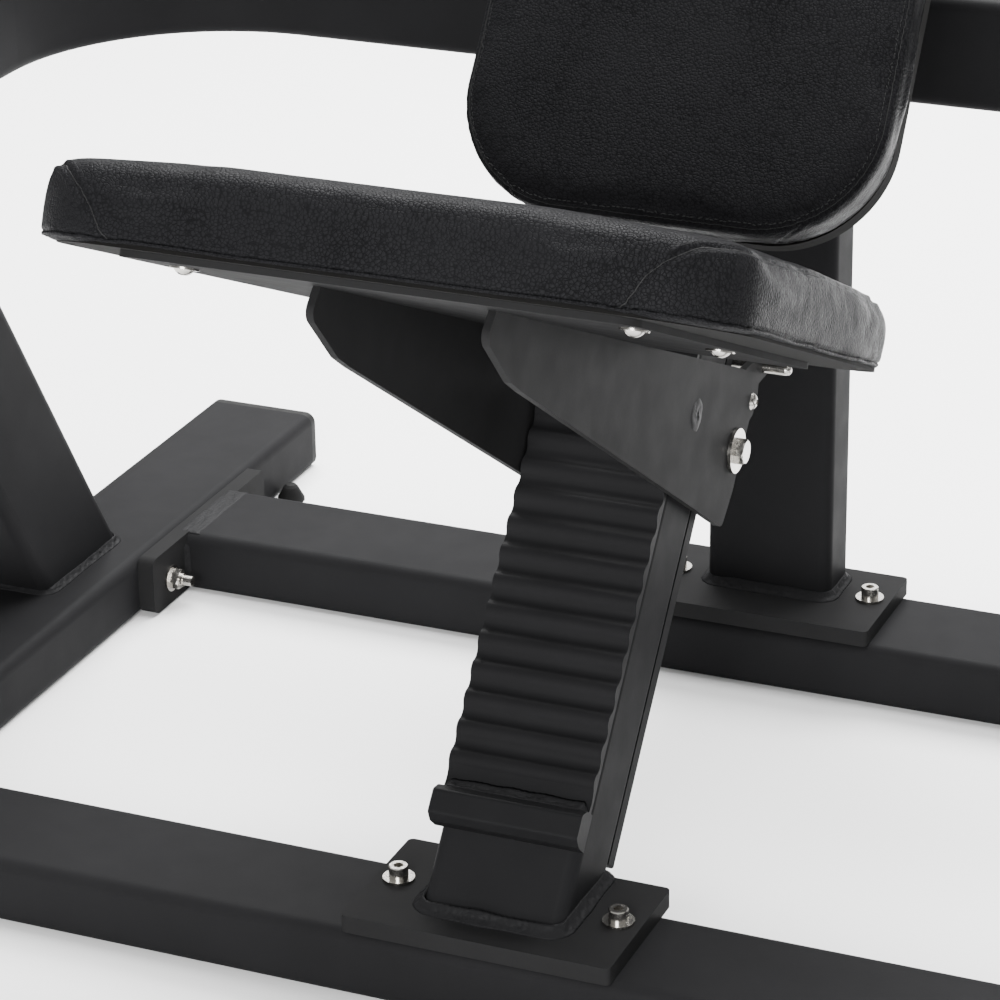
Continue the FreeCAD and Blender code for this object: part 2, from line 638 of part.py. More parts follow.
# ------------------------------------------------------------------ back pad
ph = G("pad_half")
pts = [(-ph, -155, 105), (ph, -155, 105), (ph - 4, 613, 80), (-ph + 4, 613, 80)]
o = pad_pt(0, -G("pad_thk"))
keep(plate("back_pad_cushion", pts, "Params.pad_thk", frame_at((0,) + o, (1, 0, 0), (0, -cp, sp))), "back_pad_cushion")
o = pad_pt(0, back_n)
pts = [(-ph + 10, -145, 96), (ph - 10, -145, 96), (ph - 14, 603, 72), (-ph + 14, 603, 72)]
BR_S = (330.0, 520.0)
PB_X = 118.0
pad_holes = [(sx * PB_X, s_, "4.5", 4.5) for sx in (-1, 1) for s_ in BR_S]
keep(plate("back_pad_board", pts, "15", frame_at((0,) + o, (1, 0, 0), (0, -cp, sp)), holes=pad_holes), "back_pad_board")
o = pad_pt(0, back_n - BRK)
bars = []
for k, s_ in enumerate(BR_S):
    bars.append(plate("back_pad_bar%d" % k, [(-145, s_ - 28, 8), (145, s_ - 28, 8), (145, s_ + 28, 8), (-145, s_ + 28, 8)],
                      "8", frame_at((0,) + o, (1, 0, 0), (0, -cp, sp)),
                      holes=[(-PB_X, s_, "4.5", 4.5), (PB_X, s_, "4.5", 4.5)]))
both = doc.addObject("Part::Compound", "back_pad_bars")
both.Links = bars
keep(both, "back_pad_bars")
bolts = []
for sx in (-1, 1):
    for s_ in BR_S:
        q = pad_pt(s_, back_n - BRK)
        b = Part.makeCylinder(4, 22, Vector(0, 0, -22)).fuse(ring(10, 3.9, 1.6)).fuse(hex_prism(13, 5.5, 1.6)).removeSplitter()
        bolts.append(at(b, (sx * PB_X,) + q, (1, 0, 0), (0, cp, -sp)))
group(bolts, "back_pad_bolts")
a, b_ = pad_pt(95, back_n), pad_pt(180, back_n)
pts = [a, (up_y0, a[1]), (up_y0, b_[1]), b_]
lower = plate("lower_pad_bracket", [(p[0], p[1]) for p in pts], "60", frame_at((-30, 0, 0), (0, 1, 0), (1, 0, 0)))
keep(lower, "lower_pad_bracket")

# ------------------------------------------------------- seat slider (roller)
axle = un(516.0, G("cheek_thk") * 0 + 71.4 + G("roller_rad"))
cg, ck = G("cheek_gap"), G("cheek_thk")
ar = G("axle_rad")
rod = Part.makeCylinder(ar, 2 * (cg + ck) + 6.0, Vector(0, 0, -(cg + ck) - 3.0))
for s in (-1, 1):
    z = cg + ck + 0.3
    w = ring(19, ar - 0.1, 3.0, z).fuse(hex_prism(19, 7.5, z + 3.0))
    if s < 0:
        w = w.mirror(Vector(0, 0, 0), EZ)
    rod = rod.fuse(w)
group([at(rod.removeSplitter(), (0,) + axle, (0, 1, 0), (1, 0, 0))], "roller_axle")
rr, rh = G("roller_rad"), G("roller_half")
turn = turned("rear_roller", [(ar + G("fit_gap"), -rh), (rr - 1.5, -rh), (rr, -rh + 1.5), (rr, rh - 1.5), (rr - 1.5, rh), (ar + G("fit_gap"), rh)],
              frame_at((0,) + axle, (0, 1, 0), (1, 0, 0)))
keep(turn, "rear_roller")

# ------------------------------------------------------------- seat carriage
tl = math.radians(G("seat_tilt"))
sn, cs = math.sin(tl), math.cos(tl)
S_O = (-176.0, 683.6)


def seat_pt(v, w):
    """Point on the seat: v back from its front edge, w out of its underside."""
    return (S_O[0] + v * cs + w * sn, S_O[1] - v * sn + w * cs)


V_N = (0, sn, cs)
spt = G("seat_plate_thk")
top_f = seat_pt(92.0, -spt)
top_r = seat_pt(636.0, -spt)
bar_n = -33.0 - 0.4 - G("bar_rad")
bar = un(first + 12.5 * pitch, bar_n)
stud = (468.0, 390.5)
keeper = (441.0, 369.5)
cheek_pts = [top_f, (-112, 625, 10), (-95, 606, 10), (-70, 578), (-51, 564, 12), (337, 305, 0), (367, 285, 7), (393, 307, 7),
             (433.0, 355.3, 3), (442.1, 357.6, 6), (453.6, 371.6, 5), (455.5, 380.0, 2), (478, 381.0, 8), (486, 392.0, 8), (474, 404.0, 8), (top_r[0] + 22, top_r[1] - 10.5, 4), top_r]
left = plate("cheek_left", cheek_pts, "Params.cheek_thk",
             frame_at((-(cg + ck), 0, 0), (0, 1, 0), (1, 0, 0)),
             holes=[(axle[0], axle[1], "Params.axle_rad + Params.fit_gap", ar + G("fit_gap")),
                    (stud[0], stud[1], "5.2", 5.2), (keeper[0], keeper[1], "4.2", 4.2)])
keep(left, "cheek_left")
mirror(left, "cheek_right")
keep(turned("rack_bar", [(0, -cg), (G("bar_rad"), -cg), (G("bar_rad"), cg), (0, cg)],
            frame_at((0,) + bar, (0, 1, 0), (1, 0, 0))), "rack_bar")
# cross stud and two keeper screws through the cheeks
z0 = cg + ck
st_ = Part.makeCylinder(5, 2 * z0 + 20 + 8, Vector(0, 0, -z0 - 8)).fuse(hex_prism(17, 6.5, -z0 - 6.5)).fuse(
    Part.makeSphere(5.0, Vector(0, 0, z0 + 20)))
fast = [at(st_.removeSplitter(), (0,) + stud, (0, 1, 0), (1, 0, 0))]
for s in (-1, 1):
    fast.append(at(dome_screw(4, 9.0, 7.5, 4.2), (s * z0,) + keeper, (0, 1, 0), (s, 0, 0)))
group(fast, "cheek_fasteners")

SB = [(-164, 77), (177, 77), (-164, 345), (177, 265)]
bolt_holes = [(x, v, "4.5", 4.5) for x, v in SB]
o = seat_pt(0, -spt)
seat_plate = plate("seat_plate", [(-195, 22, 18), (195, 22, 18), (195, 440, 18), (-195, 440, 18)],
                   "Params.seat_plate_thk", frame_at((0,) + o, (1, 0, 0), V_N), holes=bolt_holes)
keep(seat_plate, "seat_plate")


def seat_curve(i):
    return [(-268 + i, i, 76), (268 - i, i, 76), (262 - i, 330, 300), (246 - i, 490 - i, 66), (-246 + i, 490 - i, 66), (-262 + i, 330, 300)]


o = seat_pt(0, 0)
keep(plate("seat_board", seat_curve(6.0), "Params.board_thk", frame_at((0,) + o, (1, 0, 0), V_N), holes=bolt_holes), "seat_board")
o = seat_pt(0, G("board_thk"))
keep(plate("seat_cushion", seat_curve(0.0), "Params.seat_thk - Params.board_thk",
           frame_at((0,) + o, (1, 0, 0), V_N)), "seat_cushion")
bolts = []
for x, v in SB:
    q = seat_pt(v, -spt)
    w = ring(11, 4.0, 1.5, 0)
    b = dome_screw(4, 17.0 + 1.5, 7.5, 4.4)
    b.translate(Vector(0, 0, 1.5))
    bolts.append(at(b.fuse(w).removeSplitter(), (x,) + q, (1, 0, 0), (0, -sn, -cs)))
group(bolts, "seat_bolts")

# --------------------------------------------------------------- press arms
ac = G("arm_centre")
hl = G("hub_long") / 2
sr, br = G("shaft_rad"), G("bearing_rad")
pv = (-ac,) + pivot


def arm_side(s):
    tag = "left" if s < 0 else "right"
    return tag


# shaft: fixed in the leg, head inside, collar outside, retaining plate at the end
leg_out = leg_c + G("leg_wide") / 2
leg_inn = leg_c - G("leg_wide") / 2
z_in = -(leg_inn - ac)          # inner leg face, measured along local z = towards the middle
shaft_prof = [(0, z_in + 9), (sr + 9, z_in + 9), (sr + 9, z_in + 0.2), (sr, z_in + 0.2), (sr, -(leg_out - ac) - 0.2),
              (sr + 8, -(leg_out - ac) - 0.2), (sr + 8, hl + 0.5), (sr, hl + 0.5), (sr, -hl - 0.5), (sr + 12, -hl - 0.5),
              (sr + 12, -hl - 5.5), (sr + 4, -hl - 8.5), (0, -hl - 8.5)]
shaft = turned("pivot_shaft_left", shaft_prof, frame_at(pv, (0, 1, 0), (1, 0, 0)))
keep(shaft, "pivot_shaft_left")
mirror(shaft, "pivot_shaft_right")

hub = turned("arm_hub_left", [(br, -hl), (G("hub_rad") - 1, -hl), (G("hub_rad"), -hl + 1), (G("hub_rad"), hl - 1), (G("hub_rad") - 1, hl), (br, hl)],
             frame_at(pv, (0, 1, 0), (1, 0, 0)))
keep(hub, "arm_hub_left")
mirror(hub, "arm_hub_right")
bl = G("bearing_long")
for s in (-1, 1):
    rings = [at(ring(br, sr + G("fit_gap"), bl, z), (s * ac,) + pivot, (0, 1, 0), (1, 0, 0)) for z in (-hl + 1, hl - 1 - bl)]
    group(rings, "hub_bearings_" + arm_side(s))

pa = math.radians(G("press_angle"))
PD = (0, math.cos(pa), math.sin(pa))


def along(d, l):
    return (pivot[0] + d[1] * l, pivot[1] + d[2] * l)


WD = (0, 1, 0)
hub_env = drill("hub_envelope", (-ac - 60,) + pivot, (1, 0, 0), G("hub_rad"), 120)
weight = tube("weight_lever_blank", "Params.lever_wide", "Params.lever_deep", "Params.weight_long - 20",
              frame_at((-ac,) + along(WD, 20), (1, 0, 0), WD), closed=True)
weight_left = keep(cut(weight, [hub_env], "weight_lever_left"), "weight_lever_left")
mirror(weight_left, "weight_lever_right")
env = doc.addObject("Part::Box", "weight_lever_envelope")
env.Length = 90
env.Width = G("weight_long") + 60
env.Height = G("lever_deep") + 60
env.Placement = Placement(Vector(-ac - 45, pivot[0] - 30 + OY, pivot[1] - G("lever_deep") / 2 - 60), Rotation())
press = tube("press_lever_blank", "Params.lever_wide", "Params.lever_deep", "Params.press_long - 20",
             frame_at((-ac,) + along(PD, 20), (1, 0, 0), PD), closed=True)
press_left = keep(cut(press, [hub_env, env], "press_lever_left"), "press_lever_left")
mirror(press_left, "press_lever_right")

hz = ac + G("lever_wide") / 2
q = along(WD, 362.0)
horn_prof = [(0, 0), (45, 0), (45, 8), (G("horn_rad"), 8), (G("horn_rad"), G("horn_long") - 3), (G("horn_rad") - 3, G("horn_long")), (0, G("horn_long"))]
horn = turned("weight_horn_left", horn_prof, frame_at((-hz,) + q, (0, 1, 0), (-1, 0, 0)))
keep(horn, "weight_horn_left")
mirror(horn, "weight_horn_right")

q = along(PD, 428.0)
cr = G("cross_rad")
x_in = ac - G("lever_wide") / 2
cross = turned("cross_tube_left", [(cr - 3, 0), (cr, 0), (cr, x_in - 470.0), (cr - 3, x_in - 470.0)],
               frame_at((-x_in,) + q, (0, 1, 0), (1, 0, 0)))
keep(cross, "cross_tube_left")
mirror(cross, "cross_tube_right")
hr_ = G("bar_handle_rad")
hp = [(0, 0), (cr + 3, 0), (cr + 3, 6), (hr_, 6), (hr_, 144), (22, 144), (22, 149), (19, 152), (0, 152)]
hbar = turned("handle_bar_left", hp, frame_at((-470.0,) + q, (0, 1, 0), (1, 0, 0)))
keep(hbar, "handle_bar_left")
mirror(hbar, "handle_bar_right")
gr = G("grip_rad")
gp = [(hr_, 7), (gr + 3, 7), (gr + 3, 11), (gr, 13), (gr, 138), (gr + 2, 140), (gr + 2, 143), (hr_, 143)]
grip = turned("handle_grip_left", gp, frame_at((-470.0,) + q, (0, 1, 0), (1, 0, 0)))
keep(grip, "handle_grip_left")
mirror(grip, "handle_grip_right")

# --------------------------------------------------- stops for the arms
bx = hh + G("hoop_deep") / 2
pts = [(-bx, 556), (-bx - 8, 556), (-bx - 46, 612), (-bx - 46, 632), (-bx, 632)]
br_a = plate("stop_bracket_a", pts, "50", frame_at((0, 500, 0), (1, 0, 0), (0, -1, 0)))
br_b = doc.addObject("Part::Mirroring", "stop_bracket_b")
br_b.Source = br_a
br_b.Normal = EX
both = doc.addObject("Part::Compound", "stop_brackets")
both.Links = [br_a, br_b]
keep(both, "stop_brackets")
lever_under = pivot[1] - G("lever_deep") / 2
stops = []
for s in (-1, 1):
    c = Part.makeCylinder(16.5, lever_under - 0.4 - 632.0)
    c = c.makeFillet(3.0, [e for e in c.Edges if abs(e.BoundBox.ZMin - (lever_under - 0.4 - 632.0)) < 1e-6 and e.BoundBox.ZLength < 1e-6])
    stops.append(at(c, (s * 766.0, 475.0, 632.0), (1, 0, 0), (0, 0, 1)))
group(stops, "bump_stops")

# ------------------------------------------------------------ check and write
doc.recompute()
bad = []
for obj in doc.Objects:
    if "Invalid" in obj.State or "Error" in obj.State:
        bad.append("%s %s" % (obj.Label, obj.State))
for name, obj in NODES:
    shape = obj.Shape
    if shape.isNull() or not shape.isValid() or not shape.Solids:
        bad.append("%s has no valid solid" % name)
if bad:
    raise RuntimeError("; ".join(bad))
if len(set(n for n, o in NODES)) != len(NODES) or len(NODES) > 60:
    raise RuntimeError("node names: %d" % len(NODES))
total = FreeCAD.BoundBox()
for name, obj in NODES:
    obj.Shape.exportStep("parts/%s.step" % name)
    total.add(obj.Shape.BoundBox)
    print("%-22s solids %2d  volume %10.0f  z %7.1f %7.1f" % (name, len(obj.Shape.Solids), obj.Shape.Volume, obj.Shape.BoundBox.ZMin, obj.Shape.BoundBox.ZMax))
print("nodes", len(NODES), "box", [round(v, 1) for v in (total.XMin, total.XMax, total.YMin, total.YMax, total.ZMin, total.ZMax)])
print("pivot", pivot, "axle", axle, "bar", bar)
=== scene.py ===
import bpy
import bmesh
import json
import math
import random
from mathutils import Matrix, Vector
from mathutils import noise as mnoise
from mathutils.bvhtree import BVHTree


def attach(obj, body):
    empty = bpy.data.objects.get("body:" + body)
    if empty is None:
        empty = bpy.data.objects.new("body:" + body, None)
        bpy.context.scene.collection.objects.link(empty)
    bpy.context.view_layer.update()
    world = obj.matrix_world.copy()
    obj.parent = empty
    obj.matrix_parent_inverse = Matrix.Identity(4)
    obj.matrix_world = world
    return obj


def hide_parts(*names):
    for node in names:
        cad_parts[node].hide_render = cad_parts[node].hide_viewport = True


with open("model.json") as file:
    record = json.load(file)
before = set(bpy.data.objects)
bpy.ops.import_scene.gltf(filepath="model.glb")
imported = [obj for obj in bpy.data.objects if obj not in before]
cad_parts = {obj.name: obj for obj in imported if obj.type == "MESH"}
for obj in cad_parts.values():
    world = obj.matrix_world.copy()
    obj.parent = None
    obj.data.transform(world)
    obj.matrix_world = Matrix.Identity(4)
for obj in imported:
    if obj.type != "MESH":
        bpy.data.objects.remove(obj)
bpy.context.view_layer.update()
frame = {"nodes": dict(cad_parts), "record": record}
nodes = frame["nodes"]
random.seed(7)

YS = -0.3975          # the frame's Y shift, metres


# ------------------------------------------------------------------ materials
def new_mat(name):
    m = bpy.data.materials.new(name)
    m.use_nodes = True
    nt = m.node_tree
    return m, nt, nt.nodes["Principled BSDF"]


def coords(nt):
    return nt.nodes.new("ShaderNodeTexCoord").outputs["Object"]


def noise(nt, vec, scale, detail=2.0, rough=0.5, dist=0.0):
    n = nt.nodes.new("ShaderNodeTexNoise")
    n.inputs["Scale"].default_value = scale
    n.inputs["Detail"].default_value = detail
    n.inputs["Roughness"].default_value = rough
    n.inputs["Distortion"].default_value = dist
    nt.links.new(vec, n.inputs["Vector"])
    return n.outputs["Fac"]


def ramp(nt, fac, stops):
    r = nt.nodes.new("ShaderNodeValToRGB")
    nt.links.new(fac, r.inputs["Fac"])
    els = r.color_ramp.elements
    while len(els) < len(stops):
        els.new(0.5)
    for e, (p, c) in zip(els, stops):
        e.position = p
        e.color = (c[0], c[1], c[2], 1.0) if isinstance(c, (tuple, list)) else (c, c, c, 1.0)
    return r.outputs["Color"]


def maprange(nt, fac, a, b, lo, hi):
    n = nt.nodes.new("ShaderNodeMapRange")
    nt.links.new(fac, n.inputs["Value"])
    n.inputs["From Min"].default_value = a
    n.inputs["From Max"].default_value = b
    n.inputs["To Min"].default_value = lo
    n.inputs["To Max"].default_value = hi
    return n.outputs["Result"]


def math_node(nt, op, a, b):
    n = nt.nodes.new("ShaderNodeMath")
    n.operation = op
    for k, v in enumerate((a, b)):
        if isinstance(v, (int, float)):
            n.inputs[k].default_value = v
        else:
            nt.links.new(v, n.inputs[k])
    return n.outputs[0]


def bump(nt, height, strength, distance, prev=None):
    b = nt.nodes.new("ShaderNodeBump")
    b.inputs["Strength"].default_value = strength
    b.inputs["Distance"].default_value = distance
    nt.links.new(height, b.inputs["Height"])
    if prev is not None:
        nt.links.new(prev, b.inputs["Normal"])
    return b.outputs["Normal"]


def powder(name, base, tint=(1.0, 1.0, 1.05), rough=0.5, grain=0.00010, fine=1500.0, coarse=0.0, spec=0.018):
    """Textured powder coat: orange peel, tiny pits, slow drift of shade."""
    m, nt, p = new_mat(name)
    v = coords(nt)
    slow = noise(nt, v, 6.0, 4.0, 0.6)
    fleck = noise(nt, v, 900.0, 2.0, 0.6)
    mix = math_node(nt, "ADD", math_node(nt, "MULTIPLY", slow, 0.7), math_node(nt, "MULTIPLY", fleck, 0.3))
    lo = [base * t * 0.86 for t in tint]
    hi = [base * t * 1.16 for t in tint]
    col = ramp(nt, mix, [(0.30, lo), (0.72, hi)])
    nt.links.new(col, p.inputs["Base Color"])
    nt.links.new(maprange(nt, noise(nt, v, 40.0, 3.0), 0.3, 0.7, rough - 0.03, rough + 0.04), p.inputs["Roughness"])
    n1 = bump(nt, noise(nt, v, fine, 1.0, 0.5), 0.5, grain)
    n2 = bump(nt, noise(nt, v, 420.0, 2.0, 0.5), 0.30, grain * 1.5, n1)
    if coarse:
        vor = nt.nodes.new("ShaderNodeTexVoronoi")
        vor.inputs["Scale"].default_value = 480.0
        nt.links.new(v, vor.inputs["Vector"])
        mask = maprange(nt, noise(nt, v, 35.0, 3.0), 0.5, 0.62, 0.0, 1.0)
        h = math_node(nt, "MULTIPLY", math_node(nt, "MULTIPLY", vor.outputs["Distance"], -1.0), mask)
        n2 = bump(nt, h, 0.9, coarse, n2)
    nt.links.new(n2, p.inputs["Normal"])
    p.inputs["Specular IOR Level"].default_value = spec
    return m


def zinc(name, base=(0.50, 0.485, 0.455), rough=0.20, streak=True):
    m, nt, p = new_mat(name)
    v = coords(nt)
    col = ramp(nt, noise(nt, v, 90.0, 3.0, 0.6), [(0.30, [b * 0.86 for b in base]), (0.62, base)])
    nt.links.new(col, p.inputs["Base Color"])
    p.inputs["Metallic"].default_value = 1.0
    nt.links.new(maprange(nt, noise(nt, v, 320.0, 3.0), 0.3, 0.7, rough - 0.04, rough + 0.08), p.inputs["Roughness"])
    n1 = bump(nt, noise(nt, v, 700.0, 2.0), 0.05, 0.00002)
    nt.links.new(n1, p.inputs["Normal"])
    return m


def vinyl(name, base=(0.0082, 0.0082, 0.0089), rough=0.34):
    """Pebbled upholstery vinyl: domed cells with creases, a few size scales, with painted shade in the creases and a
    painted highlight on the domes.
    """
    m, nt, p = new_mat(name)
    v = coords(nt)
    warp = nt.nodes.new("ShaderNodeMixRGB")
    warp.blend_type = "ADD"
    warp.inputs["Fac"].default_value = 0.0016
    nz = nt.nodes.new("ShaderNodeTexNoise")
    nz.inputs["Scale"].default_value = 240.0
    nz.inputs["Detail"].default_value = 2.0
    nt.links.new(v, nz.inputs["Vector"])
    nt.links.new(v, warp.inputs["Color1"])
    nt.links.new(nz.outputs["Color"], warp.inputs["Color2"])
    wv = warp.outputs["Color"]
    cell = nt.nodes.new("ShaderNodeTexVoronoi")
    cell.feature = "F1"
    cell.inputs["Scale"].default_value = 360.0
    nt.links.new(wv, cell.inputs["Vector"])
    edge = nt.nodes.new("ShaderNodeTexVoronoi")
    edge.feature = "DISTANCE_TO_EDGE"
    edge.inputs["Scale"].default_value = 360.0
    nt.links.new(wv, edge.inputs["Vector"])
    dome = maprange(nt, cell.outputs["Distance"], 0.0, 0.75, 1.0, 0.0)
    crease = maprange(nt, edge.outputs["Distance"], 0.0, 0.16, 0.0, 1.0)
    h = math_node(nt, "ADD", math_node(nt, "MULTIPLY", dome, 0.5), math_node(nt, "MULTIPLY", crease, 0.5))
    n1 = bump(nt, h, 0.90, 0.00055)
    n2 = bump(nt, noise(nt, v, 90.0, 3.0, 0.55), 0.35, 0.0009, n1)
    n3 = bump(nt, noise(nt, v, 14.0, 2.0, 0.5), 0.12, 0.004, n2)
    nt.links.new(n3, p.inputs["Normal"])
    slow = noise(nt, v, 9.0, 3.0, 0.6)
    # painted shade and highlight: the colour follows the grain height h, darker down in the creases and lighter on the
    # dome tops, over a slow random drift of tone
    shade = math_node(nt, "MULTIPLY", maprange(nt, slow, 0.3, 0.7, 0.8, 1.25), maprange(nt, h, 0.2, 0.9, 0.55, 1.15))
    col = ramp(nt, shade, [(0.35, [b * 0.45 for b in base]), (0.95, [b * 1.25 for b in base])])
    nt.links.new(col, p.inputs["Base Color"])
    nt.links.new(maprange(nt, noise(nt, v, 60.0, 2.0), 0.3, 0.7, rough - 0.05, rough + 0.08), p.inputs["Roughness"])
    p.inputs["Specular IOR Level"].default_value = 0.013
    return m


def rubber(name, base=0.009, rough=0.62, fine=700.0):
    m, nt, p = new_mat(name)
    v = coords(nt)
    col = ramp(nt, noise(nt, v, 50.0, 4.0, 0.6), [(0.3, base * 0.7), (0.7, base * 1.4)])
    nt.links.new(col, p.inputs["Base Color"])
    nt.links.new(maprange(nt, noise(nt, v, 90.0, 3.0), 0.3, 0.7, rough - 0.08, rough + 0.08), p.inputs["Roughness"])
    nt.links.new(bump(nt, noise(nt, v, fine, 2.0), 0.4, 0.00010), p.inputs["Normal"])
    p.inputs["Specular IOR Level"].default_value = 0.06
    return m


def knurl(name):
    """Grip rubber with a moulded diamond pattern."""
    m, nt, p = new_mat(name)
    v = coords(nt)
    col = ramp(nt, noise(nt, v, 60.0, 3.0), [(0.3, 0.010), (0.7, 0.022)])
    nt.links.new(col, p.inputs["Base Color"])
    p.inputs["Roughness"].default_value = 0.6
    hs = []
    for ang in (1, -1):
        w = nt.nodes.new("ShaderNodeTexWave")
        w.wave_type = "BANDS"
        w.bands_direction = "X"
        mp = nt.nodes.new("ShaderNodeMapping")
        mp.inputs["Rotation"].default_value = (0.3 * ang, 0.0, math.radians(35 * ang))
        nt.links.new(v, mp.inputs["Vector"])
        nt.links.new(mp.outputs["Vector"], w.inputs["Vector"])
        w.inputs["Scale"].default_value = 90.0
        hs.append(w.outputs["Fac"])
    nt.links.new(bump(nt, math_node(nt, "MULTIPLY", hs[0], hs[1]), 0.7, 0.0008), p.inputs["Normal"])
    return m


def plywood(name):
    m, nt, p = new_mat(name)
    v = coords(nt)
    mp = nt.nodes.new("ShaderNodeMapping")
    mp.inputs["Scale"].default_value = (1.0, 14.0, 14.0)
    nt.links.new(v, mp.inputs["Vector"])
    col = ramp(nt, noise(nt, mp.outputs["Vector"], 12.0, 6.0, 0.65, 1.5), [(0.3, (0.0018, 0.0017, 0.0016)), (0.7, (0.0042, 0.0040, 0.0037))])
    nt.links.new(col, p.inputs["Base Color"])
    p.inputs["Roughness"].default_value = 0.8
    p.inputs["Specular IOR Level"].default_value = 0.10
    nt.links.new(bump(nt, noise(nt, mp.outputs["Vector"], 40.0, 4.0), 0.4, 0.0003), p.inputs["Normal"])
    return m


MAT = {
    "powder": powder("frame_powder_coat", 0.0125),
    "rack": powder("rack_powder_coat", 0.0105, rough=0.44, grain=0.00014, spec=0.03),
    "plate": powder("plate_powder_coat", 0.0150, tint=(1.0, 1.0, 1.02), rough=0.52, spec=0.012),
    "weld": powder("weld_powder_coat", 0.0135, rough=0.44, grain=0.00016, coarse=0.0003, spec=0.03),
    "zinc": zinc("bright_zinc"),
    "chrome": zinc("hard_chrome", (0.80, 0.80, 0.81), 0.14),
    "steel": zinc("ground_steel", (0.50, 0.50, 0.51), 0.34),
    "vinyl": vinyl("grained_vinyl"),
    "rubber": rubber("black_rubber"),
    "grip": knurl("grip_rubber"),
    "plastic": rubber("moulded_plastic", 0.013, 0.50, 400.0),
    "nylon": rubber("white_nylon", 0.55, 0.45, 300.0),
    "board": plywood("stained_board"),
}
BY_SLOT = {"powder_black": "powder", "rack_black": "rack", "zinc_bright": "zinc", "steel_bare": "steel",
           "horn_chrome": "chrome", "vinyl_black": "vinyl", "board_black": "board", "rubber_black": "rubber",
           "plastic_black": "plastic", "plastic_white": "nylon"}
SLOT_OF = {s["node"]: s["material_slot"] for s in frame["record"]["subparts"]}


def paint(obj, key):
    obj.data.materials.clear()
    obj.data.materials.append(MAT[key])


for name, obj in nodes.items():
    key = BY_SLOT[SLOT_OF[name]]
    if name in ("cheek_left", "cheek_right", "seat_plate", "front_base_plate", "rear_base_plate", "rear_flanges",
                "front_flanges", "hoop_flanges", "back_pad_bars", "stop_brackets", "lower_pad_bracket"):
        key = "plate"
    if name.startswith("handle_grip"):
        key = "grip"
    for k in range(len(obj.data.materials)):
        obj.data.materials[k] = MAT[key]
    if not obj.data.materials:
        obj.data.materials.append(MAT[key])


# -------------------------------------------------------------------- helpers
def add_mesh(name, verts, faces, mat, body, smooth=True):
    me = bpy.data.meshes.new(name)
    me.from_pydata([tuple(v) for v in verts], [], faces)
    me.update()
    ob = bpy.data.objects.new(name, me)
    bpy.context.scene.collection.objects.link(ob)
    me.materials.append(MAT[mat])
    if smooth:
        for p in me.polygons:
            p.use_smooth = True
    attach(ob, body)
    return ob


def rr_path(cx, cy, wx, wy, r, step=0.0011):
    """Rounded rectangle as (point, outward normal) samples, evenly spaced."""
    segs = []
    x, y = wx / 2, wy / 2
    corners = [(x - r, -y + r, -90), (x - r, y - r, 0), (-x + r, y - r, 90), (-x + r, -y + r, 180)]
    pts = []
    for k, (ax, ay, a0) in enumerate(corners):
        n = max(4, int(r * math.pi / 2 / step))
        for i in range(n + 1):
            a = math.radians(a0 + 90 * i / n)
            pts.append((Vector((cx + ax + r * math.cos(a), cy + ay + r * math.sin(a))), Vector((math.cos(a), math.sin(a)))))
        nx = corners[(k + 1) % 4]
        a = math.radians(a0 + 90)
        p = Vector((cx + ax + r * math.cos(a), cy + ay + r * math.sin(a)))
        q = Vector((cx + nx[0] + r * math.cos(a), cy + nx[1] + r * math.sin(a)))
        n = max(1, int((q - p).length / step))
        for i in range(1, n):
            pts.append((p.lerp(q, i / n), Vector((math.cos(a), math.sin(a)))))
    return pts


def bead(name, path, r, body, closed=True, seed=1, ripple=0.0055, rough=0.0012):
    """Weld bead in a corner: path is (point, direction along one face, direction along the other)."""
    n = len(path)
    run = [0.0]
    for i in range(1, n):
        run.append(run[-1] + (path[i][0] - path[i - 1][0]).length)
    total = run[-1] + (path[0][0] - path[-1][0]).length
    verts, faces = [], []
    K = 9
    for i, (p, a, b) in enumerate(path):
        mid = (a + b).normalized()
        ph = (run[i] / ripple) % 1.0
        wave = 0.018 * math.sin(2 * math.pi * ph) + 0.16 * mnoise.noise(Vector((run[i] * 48.0, seed * 3.1, 0.0)))
        if closed:
            fade = min(1.0, run[i] / 0.012, (total - run[i]) / 0.012)
        else:
            fade = min(1.0, 0.35 + run[i] / 0.006, 0.35 + (run[-1] - run[i]) / 0.006)
        s = r * (0.94 + wave * (fade if closed else 1.0)) * (1.0 if closed else fade)
        for k in range(K + 1):
            t = k / K
            ang = t * math.pi / 2
            flat = 1.0 / (math.cos(ang) + math.sin(ang))
            q = p + (a * math.cos(ang) + b * math.sin(ang)) * s * flat * (1.0 - 0.10 * math.sin(math.pi * t))
            if 0 < k < K:
                w = math.sin(math.pi * t)
                e = mnoise.noise(q * 210.0 + Vector((seed, 0, 0))) * 0.8 + mnoise.noise(q * 620.0) * 0.35
                c = mnoise.noise(q * 190.0 + Vector((0, seed, 0)))
                pit = -1.0 * max(0.0, c - 0.30) * 2.2
                q = q + mid * (rough * w * (e + pit) * (fade if closed else 1.0))
            verts.append(q - mid * 0.0003)
        verts.append(p - mid * 0.001)
    W = K + 2
    m = n if closed else n - 1
    for i in range(m):
        j = (i + 1) % n
        for k in range(W):
            l = (k + 1) % W
            faces.append((i * W + k, j * W + k, j * W + l, i * W + l))
    if not closed:
        faces.append(tuple(range(W - 1, -1, -1)))
        faces.append(tuple((n - 1) * W + k for k in range(W)))
    ob = add_mesh(name, verts, faces, "weld", body)
    bm = bmesh.new()
    bm.from_mesh(ob.data)
    bmesh.ops.recalc_face_normals(bm, faces=bm.faces)
    bm.to_mesh(ob.data)
    bm.free()
    return ob


def base_weld(name, cx, cy, wx, wy, z, r, seed):
    up = Vector((0, 0, 1))
    path = [(Vector((p.x, p.y + YS, z)), Vector((n.x, n.y, 0)), up) for p, n in rr_path(cx, cy, wx, wy, 0.012)]
    return bead(name, path, r, "frame", True, seed)


